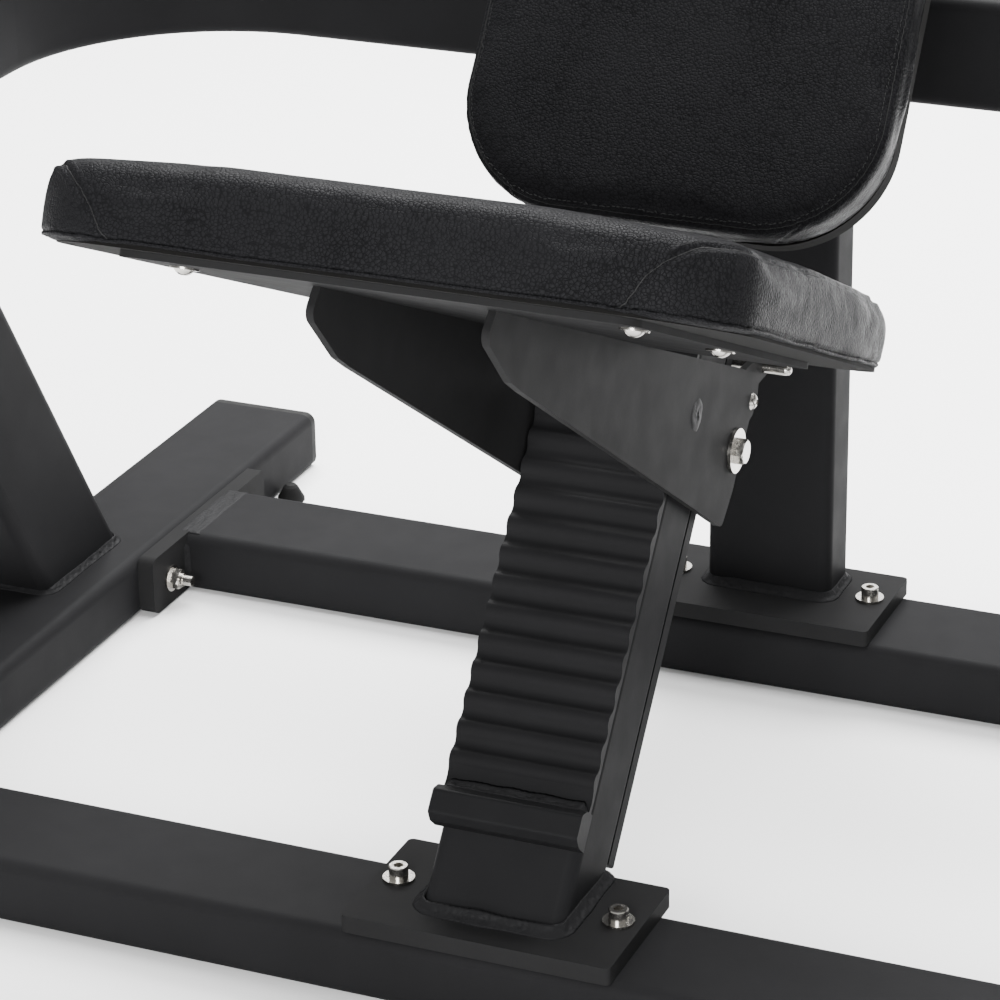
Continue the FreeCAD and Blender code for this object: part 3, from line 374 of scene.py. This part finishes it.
base_weld("weld_post_base", 0.0, 0.0826, 0.120, 0.1030, 0.075, 0.0098, 3)
base_weld("weld_upright_base", 0.0, 0.718, 0.120, 0.060, 0.075, 0.0085, 4)
base_weld("weld_leg_base_left", -0.6785, 0.5365, 0.080, 0.1391, 0.060, 0.0068, 5)
base_weld("weld_leg_base_right", 0.6785, 0.5365, 0.080, 0.1391, 0.060, 0.0068, 6)


def line_bead(name, p, q, a, b, r, body, seed):
    p, q = Vector(p), Vector(q)
    n = int((q - p).length / 0.0011)
    path = [(p.lerp(q, i / n), Vector(a), Vector(b)) for i in range(n + 1)]
    return bead(name, path, r, body, False, seed)


def flush_weld(name, x0, x1, y0, y1, z, high, body, seed):
    """Ground-down weld over a flush joint: a low streaky swell."""
    nx, ny = 22, int(abs(y1 - y0) / 0.0013)
    verts, faces = [], []
    for i in range(ny + 1):
        fy = i / ny
        wob = 0.0012 * mnoise.noise(Vector((fy * 9.0, seed, 0)))
        for k in range(nx + 1):
            fx = k / nx
            x = x0 + (x1 - x0) * fx + wob * math.sin(math.pi * fx)
            y = y0 + (y1 - y0) * fy
            e = min(1.0, fx / 0.16, (1 - fx) / 0.16, fy / 0.04, (1 - fy) / 0.04)
            st = mnoise.noise(Vector((x * 520.0, y * 60.0, seed))) * 0.5 + mnoise.noise(Vector((x * 950.0, y * 260.0, seed))) * 0.35
            verts.append(Vector((x, y + YS, z - 0.0006 + (high + 0.0006) * max(0.0, e) ** 0.6 * (0.72 + 0.55 * st))))
    W = nx + 1
    for i in range(ny):
        for k in range(nx):
            a = i * W + k
            faces.append((a, a + 1, a + W + 1, a + W))
    b0 = len(verts)
    ringv = [k for k in range(W)] + [i * W + nx for i in range(1, ny + 1)] + [ny * W + k for k in range(nx - 1, -1, -1)] + [i * W for i in range(ny - 1, 0, -1)]
    for a in ringv:
        v = verts[a]
        verts.append(Vector((v.x, v.y, z - 0.0016)))
    n = len(ringv)
    for i in range(n):
        j = (i + 1) % n
        faces.append((ringv[i], b0 + i, b0 + j, ringv[j]))
    faces.append(tuple(b0 + i for i in range(n - 1, -1, -1)))
    ob = add_mesh(name, verts, faces, "weld", body)
    bm = bmesh.new()
    bm.from_mesh(ob.data)
    bmesh.ops.recalc_face_normals(bm, faces=bm.faces)
    bm.to_mesh(ob.data)
    bm.free()
    return ob


for s, t in ((-1, "left"), (1, "right")):
    for nm, y0 in (("rear", 0.637), ("front", 0.0)):
        x = s * 0.582
        flush_weld("weld_%s_rail_top_%s" % (nm, t), s * 0.5930, s * 0.5700, y0 + 0.006, y0 + 0.114, 0.060, 0.0009, "frame", 11 + s)
        line_bead("weld_%s_rail_front_%s" % (nm, t), (x, y0 + YS, 0.010), (x, y0 + YS, 0.050),
                  (-s, 0, 0), (0, -1, 0), 0.0055, "frame", 15 + s)
        line_bead("weld_%s_rail_back_%s" % (nm, t), (x, y0 + 0.120 + YS, 0.010), (x, y0 + 0.120 + YS, 0.050),
                  (-s, 0, 0), (0, 1, 0), 0.0055, "frame", 18 + s)
    line_bead("weld_hoop_upright_%s" % t, (s * 0.060, 0.748 + YS, 0.552), (s * 0.060, 0.748 + YS, 0.628),
              (s, 0, 0), (0, -1, 0), 0.0060, "frame", 21 + s)

# stop lip weld, in the corner between the lip's top and the lowest wave
UD, ND = Vector((0, 0.62932, 0.77715)), Vector((0, 0.77715, -0.62932))
base = UD * 0.1765 + ND * (-0.0290) + Vector((0, YS, 0))
line_bead("weld_stop_lip", base + Vector((-0.0605, 0, 0)), base + Vector((0.0605, 0, 0)), -ND, UD, 0.0092, "frame", 27)
base = UD * 0.1460 + ND * (-0.0230) + Vector((0, YS, 0))


def ring_weld(name, centre, axis, radius, r, body, seed):
    ax = Vector(axis)
    u = ax.orthogonal().normalized()
    v = ax.cross(u)
    n = int(2 * math.pi * radius / 0.0015)
    path = []
    for i in range(n):
        a = 2 * math.pi * i / n
        d = u * math.cos(a) + v * math.sin(a)
        path.append((Vector(centre) + d * radius, d, ax))
    return bead(name, path, r, body, True, seed)


pa = math.radians(52.9)
PIV = (0.163958, 0.694983)
cy, cz = PIV[0] + 0.428 * math.cos(pa) + YS, PIV[1] + 0.428 * math.sin(pa)
for s, t in ((-1, "left"), (1, "right")):
    ring_weld("weld_cross_tube_%s" % t, (s * 0.731, cy, cz), (-s, 0, 0), 0.024, 0.0045, "press_arm_" + t, 31 + s)
    ring_weld("weld_weight_horn_%s" % t, (s * 0.781, PIV[0] + 0.362 + YS, PIV[1]), (s, 0, 0), 0.045, 0.0045, "press_arm_" + t, 35 + s)


# plug weld marks on the outside of the cheeks, over the rack bar
def plug(name, centre, axis, radius, body, seed):
    rnd = random.Random(seed)
    ax = Vector(axis)
    u = Vector((0, 1, 0))
    v = ax.cross(u)
    rings, seg = 7, 40
    lump = [[rnd.uniform(-1, 1) for _ in range(seg)] for _ in range(rings + 1)]
    verts, faces = [Vector(centre) + ax * 0.0006], []
    for k in range(1, rings + 1):
        f = k / rings
        for i in range(seg):
            a = 2 * math.pi * i / seg
            rad = radius * f * (1 + 0.05 * math.sin(3 * a + seed) + 0.03 * math.sin(7 * a))
            h = 0.0011 * (1 - f ** 6) + 0.0005 * math.sin(9 * f + 2 * a) * (1 - f) + lump[k][i] * 0.0002 * (1 - f)
            verts.append(Vector(centre) + (u * math.cos(a) + v * math.sin(a)) * rad + ax * (h - 0.0001))
    for i in range(seg):
        faces.append((0, 1 + i, 1 + (i + 1) % seg))
    for k in range(1, rings):
        for i in range(seg):
            a, b = 1 + (k - 1) * seg + i, 1 + (k - 1) * seg + (i + 1) % seg
            faces.append((a, a + seg, b + seg, b))
    return add_mesh(name, verts, faces, "weld", body)


for s, t in ((-1, "left"), (1, "right")):
    plug("weld_plug_%s" % t, (s * 0.070, 0.3055 + YS, 0.4095), (s, 0, 0), 0.0135, "seat_carriage", 5 + s)


# ----------------------------------------------------------------------- pads
def round_outline(pts, step=0.004):
    """Closed outline from (x, y, radius) corners, sampled."""
    n = len(pts)
    out = []
    arcs = []
    for i in range(n):
        p = Vector(pts[i][:2])
        a = (Vector(pts[i - 1][:2]) - p).normalized()
        b = (Vector(pts[(i + 1) % n][:2]) - p).normalized()
        half = math.acos(max(-1, min(1, a.dot(b)))) / 2
        r = pts[i][2]
        tl = r / math.tan(half)
        c = p + (a + b).normalized() * (r / math.sin(half))
        p0, p1 = p + a * tl, p + b * tl
        a0 = math.atan2(p0.y - c.y, p0.x - c.x)
        a1 = math.atan2(p1.y - c.y, p1.x - c.x)
        while a1 - a0 > math.pi:
            a1 -= 2 * math.pi
        while a1 - a0 < -math.pi:
            a1 += 2 * math.pi
        arcs.append((c, r, a0, a1, p0, p1))
    for i in range(n):
        c, r, a0, a1, p0, p1 = arcs[i]
        k = max(2, int(abs(a1 - a0) * r / step))
        for j in range(k + 1):
            a = a0 + (a1 - a0) * j / k
            out.append(Vector((c.x + r * math.cos(a), c.y + r * math.sin(a))))
        q = arcs[(i + 1) % n][4]
        k = int((q - p1).length / step)
        for j in range(1, k):
            out.append(p1.lerp(q, j / k))
    clean = [out[0]]
    for p in out[1:]:
        if (p - clean[-1]).length > 1e-4:
            clean.append(p)
    if (clean[0] - clean[-1]).length < 1e-4:
        clean.pop()
    return clean


def pad_shell(name, outline, prof, centre, inner):
    """Rings of (inset, height) round an outline, closed over the top and bottom."""
    n = len(outline)
    area = sum(outline[i].x * outline[(i + 1) % n].y - outline[(i + 1) % n].x * outline[i].y for i in range(n))
    sign = 1 if area > 0 else -1
    norms = []
    for i in range(n):
        t = (outline[(i + 1) % n] - outline[i - 1]).normalized()
        norms.append(Vector((t.y, -t.x)) * sign)
    verts, faces = [], []
    c = Vector(centre)
    rings = []
    for inset, w, k in prof:
        ring = []
        for i in range(n):
            p = outline[i] - norms[i] * inset
            if k > 0:
                p = p.lerp(c, k)
            ring.append(len(verts))
            verts.append(Vector((p.x, p.y, w)))
        rings.append(ring)
    for a, b in zip(rings, rings[1:]):
        for i in range(n):
            j = (i + 1) % n
            faces.append((a[i], a[j], b[j], b[i]))
    for ring, w, flip in ((rings[0], prof[0][1], True), (rings[-1], prof[-1][1], False)):
        m = len(verts)
        verts.append(Vector((c.x, c.y, w)))
        for i in range(n):
            j = (i + 1) % n
            faces.append((ring[i], ring[j], m))
    me = bpy.data.meshes.new(name)
    me.from_pydata([tuple(v) for v in verts], [], faces)
    bm = bmesh.new()
    bm.from_mesh(me)
    bmesh.ops.recalc_face_normals(bm, faces=bm.faces)
    bm.to_mesh(me)
    bm.free()
    ob = bpy.data.objects.new(name, me)
    bpy.context.scene.collection.objects.link(ob)
    return ob


def inflate(ob, voxel, cap, pressure, floor_w):
    """Voxel remesh, a short cloth run under pressure, the move capped, then one subdivision."""
    bpy.context.view_layer.objects.active = ob
    for o in bpy.context.selected_objects:
        o.select_set(False)
    ob.select_set(True)
    rm = ob.modifiers.new("Remesh", "REMESH")
    rm.mode = "VOXEL"
    rm.voxel_size = voxel
    bpy.ops.object.modifier_apply(modifier="Remesh")
    rest = [v.co.copy() for v in ob.data.vertices]
    cl = ob.modifiers.new("Cloth", "CLOTH")
    st = cl.settings
    st.use_pressure = True
    st.uniform_pressure_force = pressure
    st.quality = 4
    st.mass = 0.4
    st.tension_stiffness = 25
    st.compression_stiffness = 25
    st.bending_stiffness = 3.0
    st.effector_weights.gravity = 0.0
    sc = bpy.context.scene
    for f in range(1, 21):
        sc.frame_set(f)
    dg = bpy.context.evaluated_depsgraph_get()
    ev = ob.evaluated_get(dg)
    moved = [v.co.copy() for v in ev.data.vertices]
    ob.modifiers.remove(cl)
    sc.frame_set(1)
    if len(moved) == len(rest):
        for v, a, b in zip(ob.data.vertices, rest, moved):
            d = b - a
            if d.length > cap:
                d = d * (cap / d.length)
            v.co = a + d
    for v in ob.data.vertices:
        if v.co.z < floor_w:
            v.co.z = floor_w
    sm = ob.modifiers.new("Smooth", "SMOOTH")
    sm.factor = 0.5
    sm.iterations = 2
    bpy.ops.object.modifier_apply(modifier="Smooth")
    sd = ob.modifiers.new("Subdivision", "SUBSURF")
    sd.levels = sd.render_levels = 1
    bpy.ops.object.modifier_apply(modifier="Subdivision")
    for p in ob.data.polygons:
        p.use_smooth = True


def densify(path, step=0.0012):
    out = [path[0]]
    for p, q in zip(path, path[1:]):
        n = max(1, int((q - p).length / step))
        for i in range(1, n + 1):
            out.append(p.lerp(q, i / n))
    return out


def smooth_path(path, rounds=3):
    for _ in range(rounds):
        path = [path[0]] + [(path[i - 1] + path[i] * 2 + path[i + 1]) / 4 for i in range(1, len(path) - 1)] + [path[-1]]
    return path


def catmull(pts, step=0.002, closed=False):
    pts = [Vector(p) for p in pts]
    n = len(pts)
    out = []
    rng = range(n) if closed else range(n - 1)
    for i in rng:
        p0 = pts[(i - 1) % n] if closed or i > 0 else pts[0]
        p1, p2 = pts[i], pts[(i + 1) % n]
        p3 = pts[(i + 2) % n] if closed or i + 2 < n else pts[-1]
        k = max(2, int((p2 - p1).length / step))
        for j in range(k):
            t = j / k
            out.append(0.5 * ((2 * p1) + (p2 - p0) * t + (2 * p0 - 5 * p1 + 4 * p2 - p3) * t * t + (3 * p1 - p0 - 3 * p2 + p3) * t ** 3))
    if not closed:
        out.append(pts[-1])
    return out


def on_surface(ob, path):
    bm = bmesh.new()
    bm.from_mesh(ob.data)
    tree = BVHTree.FromBMesh(bm)
    out = []
    for p in path:
        q, nrm, _, _ = tree.find_nearest(p)
        out.append((q, nrm))
    bm.free()
    return out


def groove(ob, paths, depth=0.0016, width=0.0020, lift=0.0006):
    """Presses seams into the surface, with a slight swell beside each."""
    from mathutils.kdtree import KDTree
    pts = [q for path in paths for q, _ in path]
    kd = KDTree(len(pts))
    for i, p in enumerate(pts):
        kd.insert(p, i)
    kd.balance()
    ob.data.update()
    normals = [v.normal.copy() for v in ob.data.vertices]
    for v, nrm in zip(ob.data.vertices, normals):
        _, _, d = kd.find(v.co)
        if d < width * 5:
            v.co += nrm * (-depth * math.exp(-(d / width) ** 2) + lift * math.exp(-((d - 2.3 * width) / (1.1 * width)) ** 2))


def tube_mesh(name, path, rad, sides=6, closed=False):
    verts, faces = [], []
    n = len(path)
    for i, (p, nrm) in enumerate(path):
        q = path[(i + 1) % n][0] if (closed or i + 1 < n) else p
        o = path[i - 1][0] if (closed or i > 0) else p
        t = (q - o).normalized()
        b = t.cross(nrm).normalized()
        for k in range(sides):
            a = 2 * math.pi * k / sides
            verts.append(p + (nrm * math.sin(a) + b * math.cos(a)) * rad)
    m = n if closed else n - 1
    for i in range(m):
        j = (i + 1) % n
        for k in range(sides):
            l = (k + 1) % sides
            faces.append((i * sides + k, j * sides + k, j * sides + l, i * sides + l))
    if not closed:
        faces.append(tuple(range(sides - 1, -1, -1)))
        faces.append(tuple((n - 1) * sides + k for k in range(sides)))
    return verts, faces


def stitches(path, pitch=0.0042, length=0.0029, rad=0.00042, sink=0.0):
    """Separate thread lengths along a seam: short, slightly arched capsules."""
    verts, faces = [], []
    run, nxt = 0.0, 0.0
    marks = []
    for i in range(1, len(path)):
        run += (path[i][0] - path[i - 1][0]).length
        if run >= nxt:
            marks.append(i)
            nxt += pitch
    for i in marks:
        if i + 1 >= len(path):
            continue
        p, nrm = path[i]
        t = (path[i + 1][0] - path[i - 1][0]).normalized()
        b = t.cross(nrm).normalized()
        base = len(verts)
        K, S = 5, 5
        for k in range(K):
            f = k / (K - 1) - 0.5
            h = (0.25 - f * f) * 4
            rr = rad * (0.45 + 0.55 * math.sqrt(max(0.0, h)))
            c = p + t * (f * length) + nrm * (rad * 0.9 * h - sink)
            for j in range(S):
                a = 2 * math.pi * j / S
                verts.append(c + (nrm * math.sin(a) + b * math.cos(a)) * rr)
        for k in range(K - 1):
            for j in range(S):
                l = (j + 1) % S
                faces.append((base + k * S + j, base + (k + 1) * S + j, base + (k + 1) * S + l, base + k * S + l))
        faces.append(tuple(base + j for j in range(S - 1, -1, -1)))
        faces.append(tuple(base + (K - 1) * S + j for j in range(S)))
    return verts, faces


def place_local(ob, M):
    ob.data.transform(M)
    ob.matrix_world = Matrix.Identity(4)


def local_frame(origin, xdir, ydir, zdir):
    m = Matrix((xdir, ydir, zdir)).transposed().to_4x4()
    m.translation = Vector(origin)
    return m


thread_mat, nt_, p_ = new_mat("thread")
nt_.links.new(ramp(nt_, noise(nt_, coords(nt_), 900.0, 2.0), [(0.3, 0.010), (0.7, 0.024)]), p_.inputs["Base Color"])
nt_.links.new(bump(nt_, noise(nt_, coords(nt_), 2500.0, 1.0), 0.6, 0.0001), p_.inputs["Normal"])
p_.inputs["Roughness"].default_value = 0.6
p_.inputs["Specular IOR Level"].default_value = 0.12
MAT["thread"] = thread_mat

# seat: local x across, y back along the seat, z out of its underside
ts = math.radians(24.5)
S_M = local_frame((0, -0.176 + YS, 0.6836), (1, 0, 0), (0, math.cos(ts), -math.sin(ts)), (0, math.sin(ts), math.cos(ts)))
i = 0.0
seat_pts = [(-.2690 + i, i, .062), (.2690 - i, i, .062), (.263 - i, .330, .300), (.247 - i, .491 - i, .086), (-.247 + i, .491 - i, .086), (-.263 + i, .330, .300)]
seat_line = round_outline(seat_pts)
seat_prof = [(0.012, 0.0002, 0.5), (0.012, 0.0002, 0.0), (0.003, 0.0002, 0), (0.0004, 0.0014, 0), (-0.0004, 0.0050, 0), (-0.0006, 0.0120, 0), (-0.0008, 0.024, 0), (-0.0004, 0.036, 0),
             (0.0006, 0.0465, 0), (0.0030, 0.0545, 0), (0.0078, 0.0595, 0), (0.0165, 0.0622, 0), (0.030, 0.0636, 0), (0.030, 0.0644, 0.25),
             (0.030, 0.0648, 0.5), (0.030, 0.0650, 0.75), (0.030, 0.0650, 0.9)]
seat = pad_shell("seat_pad", seat_line, seat_prof, (0.0, 0.245), 0.030)
inflate(seat, 0.0045, 0.0030, 4.0, 0.0002)
# the cover pulls the top edge round towards the back, and the crown drops a little at the front
for v in seat.data.vertices:
    q = v.co
    back = min(1.0, max(0.0, (q.y - 0.20) / 0.24))
    back = back * back * (3.0 - 2.0 * back)
    e = max(0.0, (q.z - 0.026) / 0.038)
    lo = max(0.0, (0.012 - q.z) / 0.012)
    r_ = max(0.0, (abs(q.x) - 0.17) / 0.07)
    e = max(0.0, (q.z - 0.031) / 0.033)
    pull = back * min(1.0, r_) * (0.0100 * e * e + 0.0035 * lo * lo)
    q.x -= math.copysign(pull, q.x)
    side = min(1.0, max(0.0, (abs(q.x) - 0.11) / 0.13))
    q.z -= 0.0052 * side * side * (3.0 - 2.0 * side) * min(1.0, max(0.0, (q.z - 0.018) / 0.040))
    if q.y > 0.40:
        q.y -= min(1.0, (q.y - 0.40) / 0.05) * (0.0100 * e * e + 0.0030 * lo * lo)


def mirrored(pts):
    return [(-p[0], p[1], p[2]) for p in pts]


side_seam = [(0.188, 0.001, 0.0005), (0.193, 0.002, 0.006), (0.1972, 0.0020, 0.0123), (0.2007, 0.0024, 0.0185), (0.2041, 0.0030, 0.0240),
             (0.2078, 0.0042, 0.0295), (0.2121, 0.0063, 0.0342), (0.2168, 0.0085, 0.0382), (0.2214, 0.0110, 0.0418), (0.2264, 0.0140, 0.0452),
             (0.2340, 0.0193, 0.0485), (0.2410, 0.0258, 0.0508), (0.2510, 0.0390, 0.0525), (0.2575, 0.0620, 0.0535), (0.2570, 0.1000, 0.0548),
             (0.2560, 0.1400, 0.0555), (0.2548, 0.1900, 0.0560), (0.2538, 0.2450, 0.0560), (0.2525, 0.3050, 0.0560), (0.2490, 0.3600, 0.0560),
             (0.2440, 0.4100, 0.0560), (0.2300, 0.4500, 0.0560), (0.2040, 0.4720, 0.0560), (0.1600, 0.4790, 0.0560), (0.0900, 0.4795, 0.0560), (0.0, 0.4795, 0.0560)]


seam_paths = []
for pts in (side_seam, mirrored(side_seam)):
    seam_paths.append(on_surface(seat, smooth_path(densify(catmull(pts)), 4)))
hem = []
for w in (0.0042,):
    ring = [Vector((p.x, p.y, w)) for p in seat_line] + [Vector((seat_line[0].x, seat_line[0].y, w))]
    hem.append(on_surface(seat, densify(ring)))
groove(seat, seam_paths, 0.0014, 0.0020, 0.0009)
groove(seat, hem, 0.0007, 0.0012, 0.0003)
tv, tf = [], []


def add_tube(path, rad, sink):
    global tv, tf
    pth = [(q - nrm * sink, nrm) for q, nrm in path]
    v, f = tube_mesh("x", pth[::2], rad, 6)
    o = len(tv)
    tv += v
    tf += [tuple(a + o for a in fc) for fc in f]


def add_stitch(path, **kw):
    global tv, tf
    v, f = stitches(path, **kw)
    o = len(tv)
    tv += v
    tf += [tuple(a + o for a in fc) for fc in f]


def offset_path(ob, path, across, toward):
    """A path shifted sideways over the surface, towards a point."""
    out = []
    n = len(path)
    for i, (p, nrm) in enumerate(path):
        t = (path[min(i + 1, n - 1)][0] - path[max(i - 1, 0)][0]).normalized()
        b = t.cross(nrm).normalized()
        if b.dot(toward - p) < 0:
            b = -b
        out.append(p + b * across)
    return on_surface(ob, out)


reseam = [on_surface(seat, [q for q, _ in p]) for p in seam_paths]
for p in reseam:
    add_tube(p, 0.0005, 0.0002)
welt = [(p, nrm) for p, nrm in on_surface(seat, densify([Vector((p.x, p.y, 0.0020)) for p in seat_line] + [Vector((seat_line[0].x, seat_line[0].y, 0.0020))], 0.003))]
wv_, wf_ = tube_mesh("x", welt[:-1], 0.0014, 7, True)
seat_welt = add_mesh("seat_pad_welt", wv_, wf_, "vinyl", "seat_carriage")
place_local(seat_welt, S_M)
seat_thread = add_mesh("seat_pad_thread", tv, tf, "thread", "seat_carriage")
place_local(seat, S_M)
paint(seat, "vinyl") if seat.data.materials else seat.data.materials.append(MAT["vinyl"])
seat_thread.parent = None
place_local(seat_thread, S_M)
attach(seat_thread, "seat_carriage")
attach(seat, "seat_carriage")
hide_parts("seat_cushion")

# back pad: local x across, y up its face, z out of its face
tp = math.radians(35.0)
cp, sp = math.cos(tp), math.sin(tp)
P_M = local_frame((0, 0.4625 + YS, 0.668), (1, 0, 0), (0, sp, cp), (0, -cp, sp))
T = 0.065
i = 0.0
pad_pts = [(-.1890 + i, -.1565 + i, .106), (.1890 - i, -.1565 + i, .106), (.1850 - i, .616 - i, .080), (-.1850 + i, .616 - i, .080)]
pad_line = round_outline(pad_pts)
pad_prof = [(0.016, -T + 0.0006, 0.5), (0.016, -T + 0.0006, 0.0), (0.0120, -T + 0.0010, 0), (0.0096, -T + 0.004, 0), (0.0088, -T + 0.010, 0), (0.0070, -0.044, 0), (0.0044, -0.030, 0),
            (0.0018, -0.0180, 0), (0.0012, -0.0110, 0), (0.0034, -0.0060, 0), (0.0080, -0.0034, 0), (0.017, -0.0016, 0), (0.032, -0.0004, 0), (0.032, 0.0004, 0.25),
            (0.032, 0.0010, 0.5), (0.032, 0.0014, 0.75), (0.032, 0.0016, 0.9)]
pad = pad_shell("back_pad", pad_line, pad_prof, (0.0, 0.223), 0.032)
inflate(pad, 0.0045, 0.0030, 4.0, -T + 0.0006)
n_ = len(pad_line)
ring = []
for k in range(n_):
    t_ = (pad_line[(k + 1) % n_] - pad_line[k - 1]).normalized()
    ring.append(Vector((pad_line[k].x - t_.y * 0.0078, pad_line[k].y + t_.x * 0.0078, -0.0045)))
ring.append(ring[0].copy())
front_seam = on_surface(pad, densify(ring))
ring = [Vector((p.x, p.y, -0.055)) for p in pad_line]
ring.append(ring[0].copy())
rear_seam = on_surface(pad, densify(ring))
groove(pad, [front_seam], 0.0009, 0.0015, 0.0006)
groove(pad, [rear_seam], 0.0010, 0.0018, 0.0004)
# corner joins of the side panel
joins = []
for sx in (-1, 1):
    joins.append(on_surface(pad, densify([Vector((sx * 0.1265, -0.1380, -0.0070)), Vector((sx * 0.1170, -0.1450, -0.0150)), Vector((sx * 0.1060, -0.1480, -0.0320)), Vector((sx * 0.0990, -0.1480, -0.0540))])))
groove(pad, joins, 0.0012, 0.0018, 0.0005)
tv, tf = [], []
add_tube(on_surface(pad, [q for q, _ in front_seam]), 0.0005, 0.0002)
for j in joins:
    add_tube(on_surface(pad, [q for q, _ in j]), 0.0005, 0.0002)
add_stitch(offset_path(pad, on_surface(pad, [q for q, _ in front_seam]), 0.0045, Vector((0, 0.22, 0.0))), pitch=0.0044, length=0.0030, rad=0.00040)
add_stitch(on_surface(pad, [q for q, _ in rear_seam]), pitch=0.0045, length=0.0030, rad=0.0004)
pad_thread = add_mesh("back_pad_thread", tv, tf, "thread", "frame")
place_local(pad, P_M)
pad.data.materials.append(MAT["vinyl"])
pad_thread.parent = None
place_local(pad_thread, P_M)
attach(pad_thread, "frame")
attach(pad, "frame")
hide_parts("back_pad_cushion")

# ---------------------------------------------------------------------- stage
me = bpy.data.meshes.new("floor")
me.from_pydata([(-30, -30, 0), (30, -30, 0), (30, 30, 0), (-30, 30, 0)], [], [(0, 1, 2, 3)])
floor = bpy.data.objects.new("floor", me)
bpy.context.scene.collection.objects.link(floor)
fm, fnt, fp = new_mat("floor_white")
fnt.links.new(ramp(fnt, noise(fnt, coords(fnt), 2.0, 2.0), [(0.0, 0.93), (1.0, 0.95)]), fp.inputs["Base Color"])
fp.inputs["Roughness"].default_value = 0.9
fp.inputs["Specular IOR Level"].default_value = 0.0
me.materials.append(fm)

world = bpy.data.worlds.new("studio")
bpy.context.scene.world = world
world.use_nodes = True
bg = world.node_tree.nodes["Background"]
bg.inputs["Color"].default_value = (1.0, 1.0, 1.0, 1.0)
bg.inputs["Strength"].default_value = 0.60


def area(name, loc, target, size, power, sy=None):
    li = bpy.data.lights.new(name, "AREA")
    li.energy = power
    li.shape = "RECTANGLE"
    li.size = size
    li.size_y = sy or size
    ob = bpy.data.objects.new(name, li)
    bpy.context.scene.collection.objects.link(ob)
    ob.location = loc
    ob.rotation_euler = (Vector(target) - Vector(loc)).to_track_quat("-Z", "Y").to_euler()
    return ob


area("top_soft", (-0.1, 1.7, 3.6), (0, 0.0, 0.1), 4.2, 1010)
area("back_soft", (-1.7, 3.9, 2.5), (0, 0.0, 0.2), 2.4, 45)
area("right_soft", (3.4, 0.9, 2.0), (0, 0.1, 0.5), 2.2, 3)
area("front_low", (0.25, -2.5, 1.15), (0, -0.4, 0.10), 1.0, 82)

# --------------------------------------------------------------------- camera
az, pit, roll = math.radians(23.42), math.radians(23.68), math.radians(-0.966)
f = Vector((-math.sin(az) * math.cos(pit), math.cos(az) * math.cos(pit), -math.sin(pit)))
r = Vector((math.cos(az), math.sin(az), 0.0))
u = r.cross(f)
r2 = r * math.cos(roll) + u * math.sin(roll)
u2 = -r * math.sin(roll) + u * math.cos(roll)
cam = bpy.data.cameras.new("camera")
cam.sensor_width = 36.0
cam.sensor_fit = "HORIZONTAL"
cam.lens = 3758.0 * 36.0 / 1000.0
cam.clip_end = 100.0
cam_ob = bpy.data.objects.new("camera", cam)
bpy.context.scene.collection.objects.link(cam_ob)
M = Matrix((r2, u2, -f)).transposed().to_4x4()
K = 1560.0 / 1595.0
M.translation = Vector((1.055 * K, -2.3665 * K + YS, 1.560))
cam_ob.matrix_world = M
bpy.context.scene.camera = cam_ob
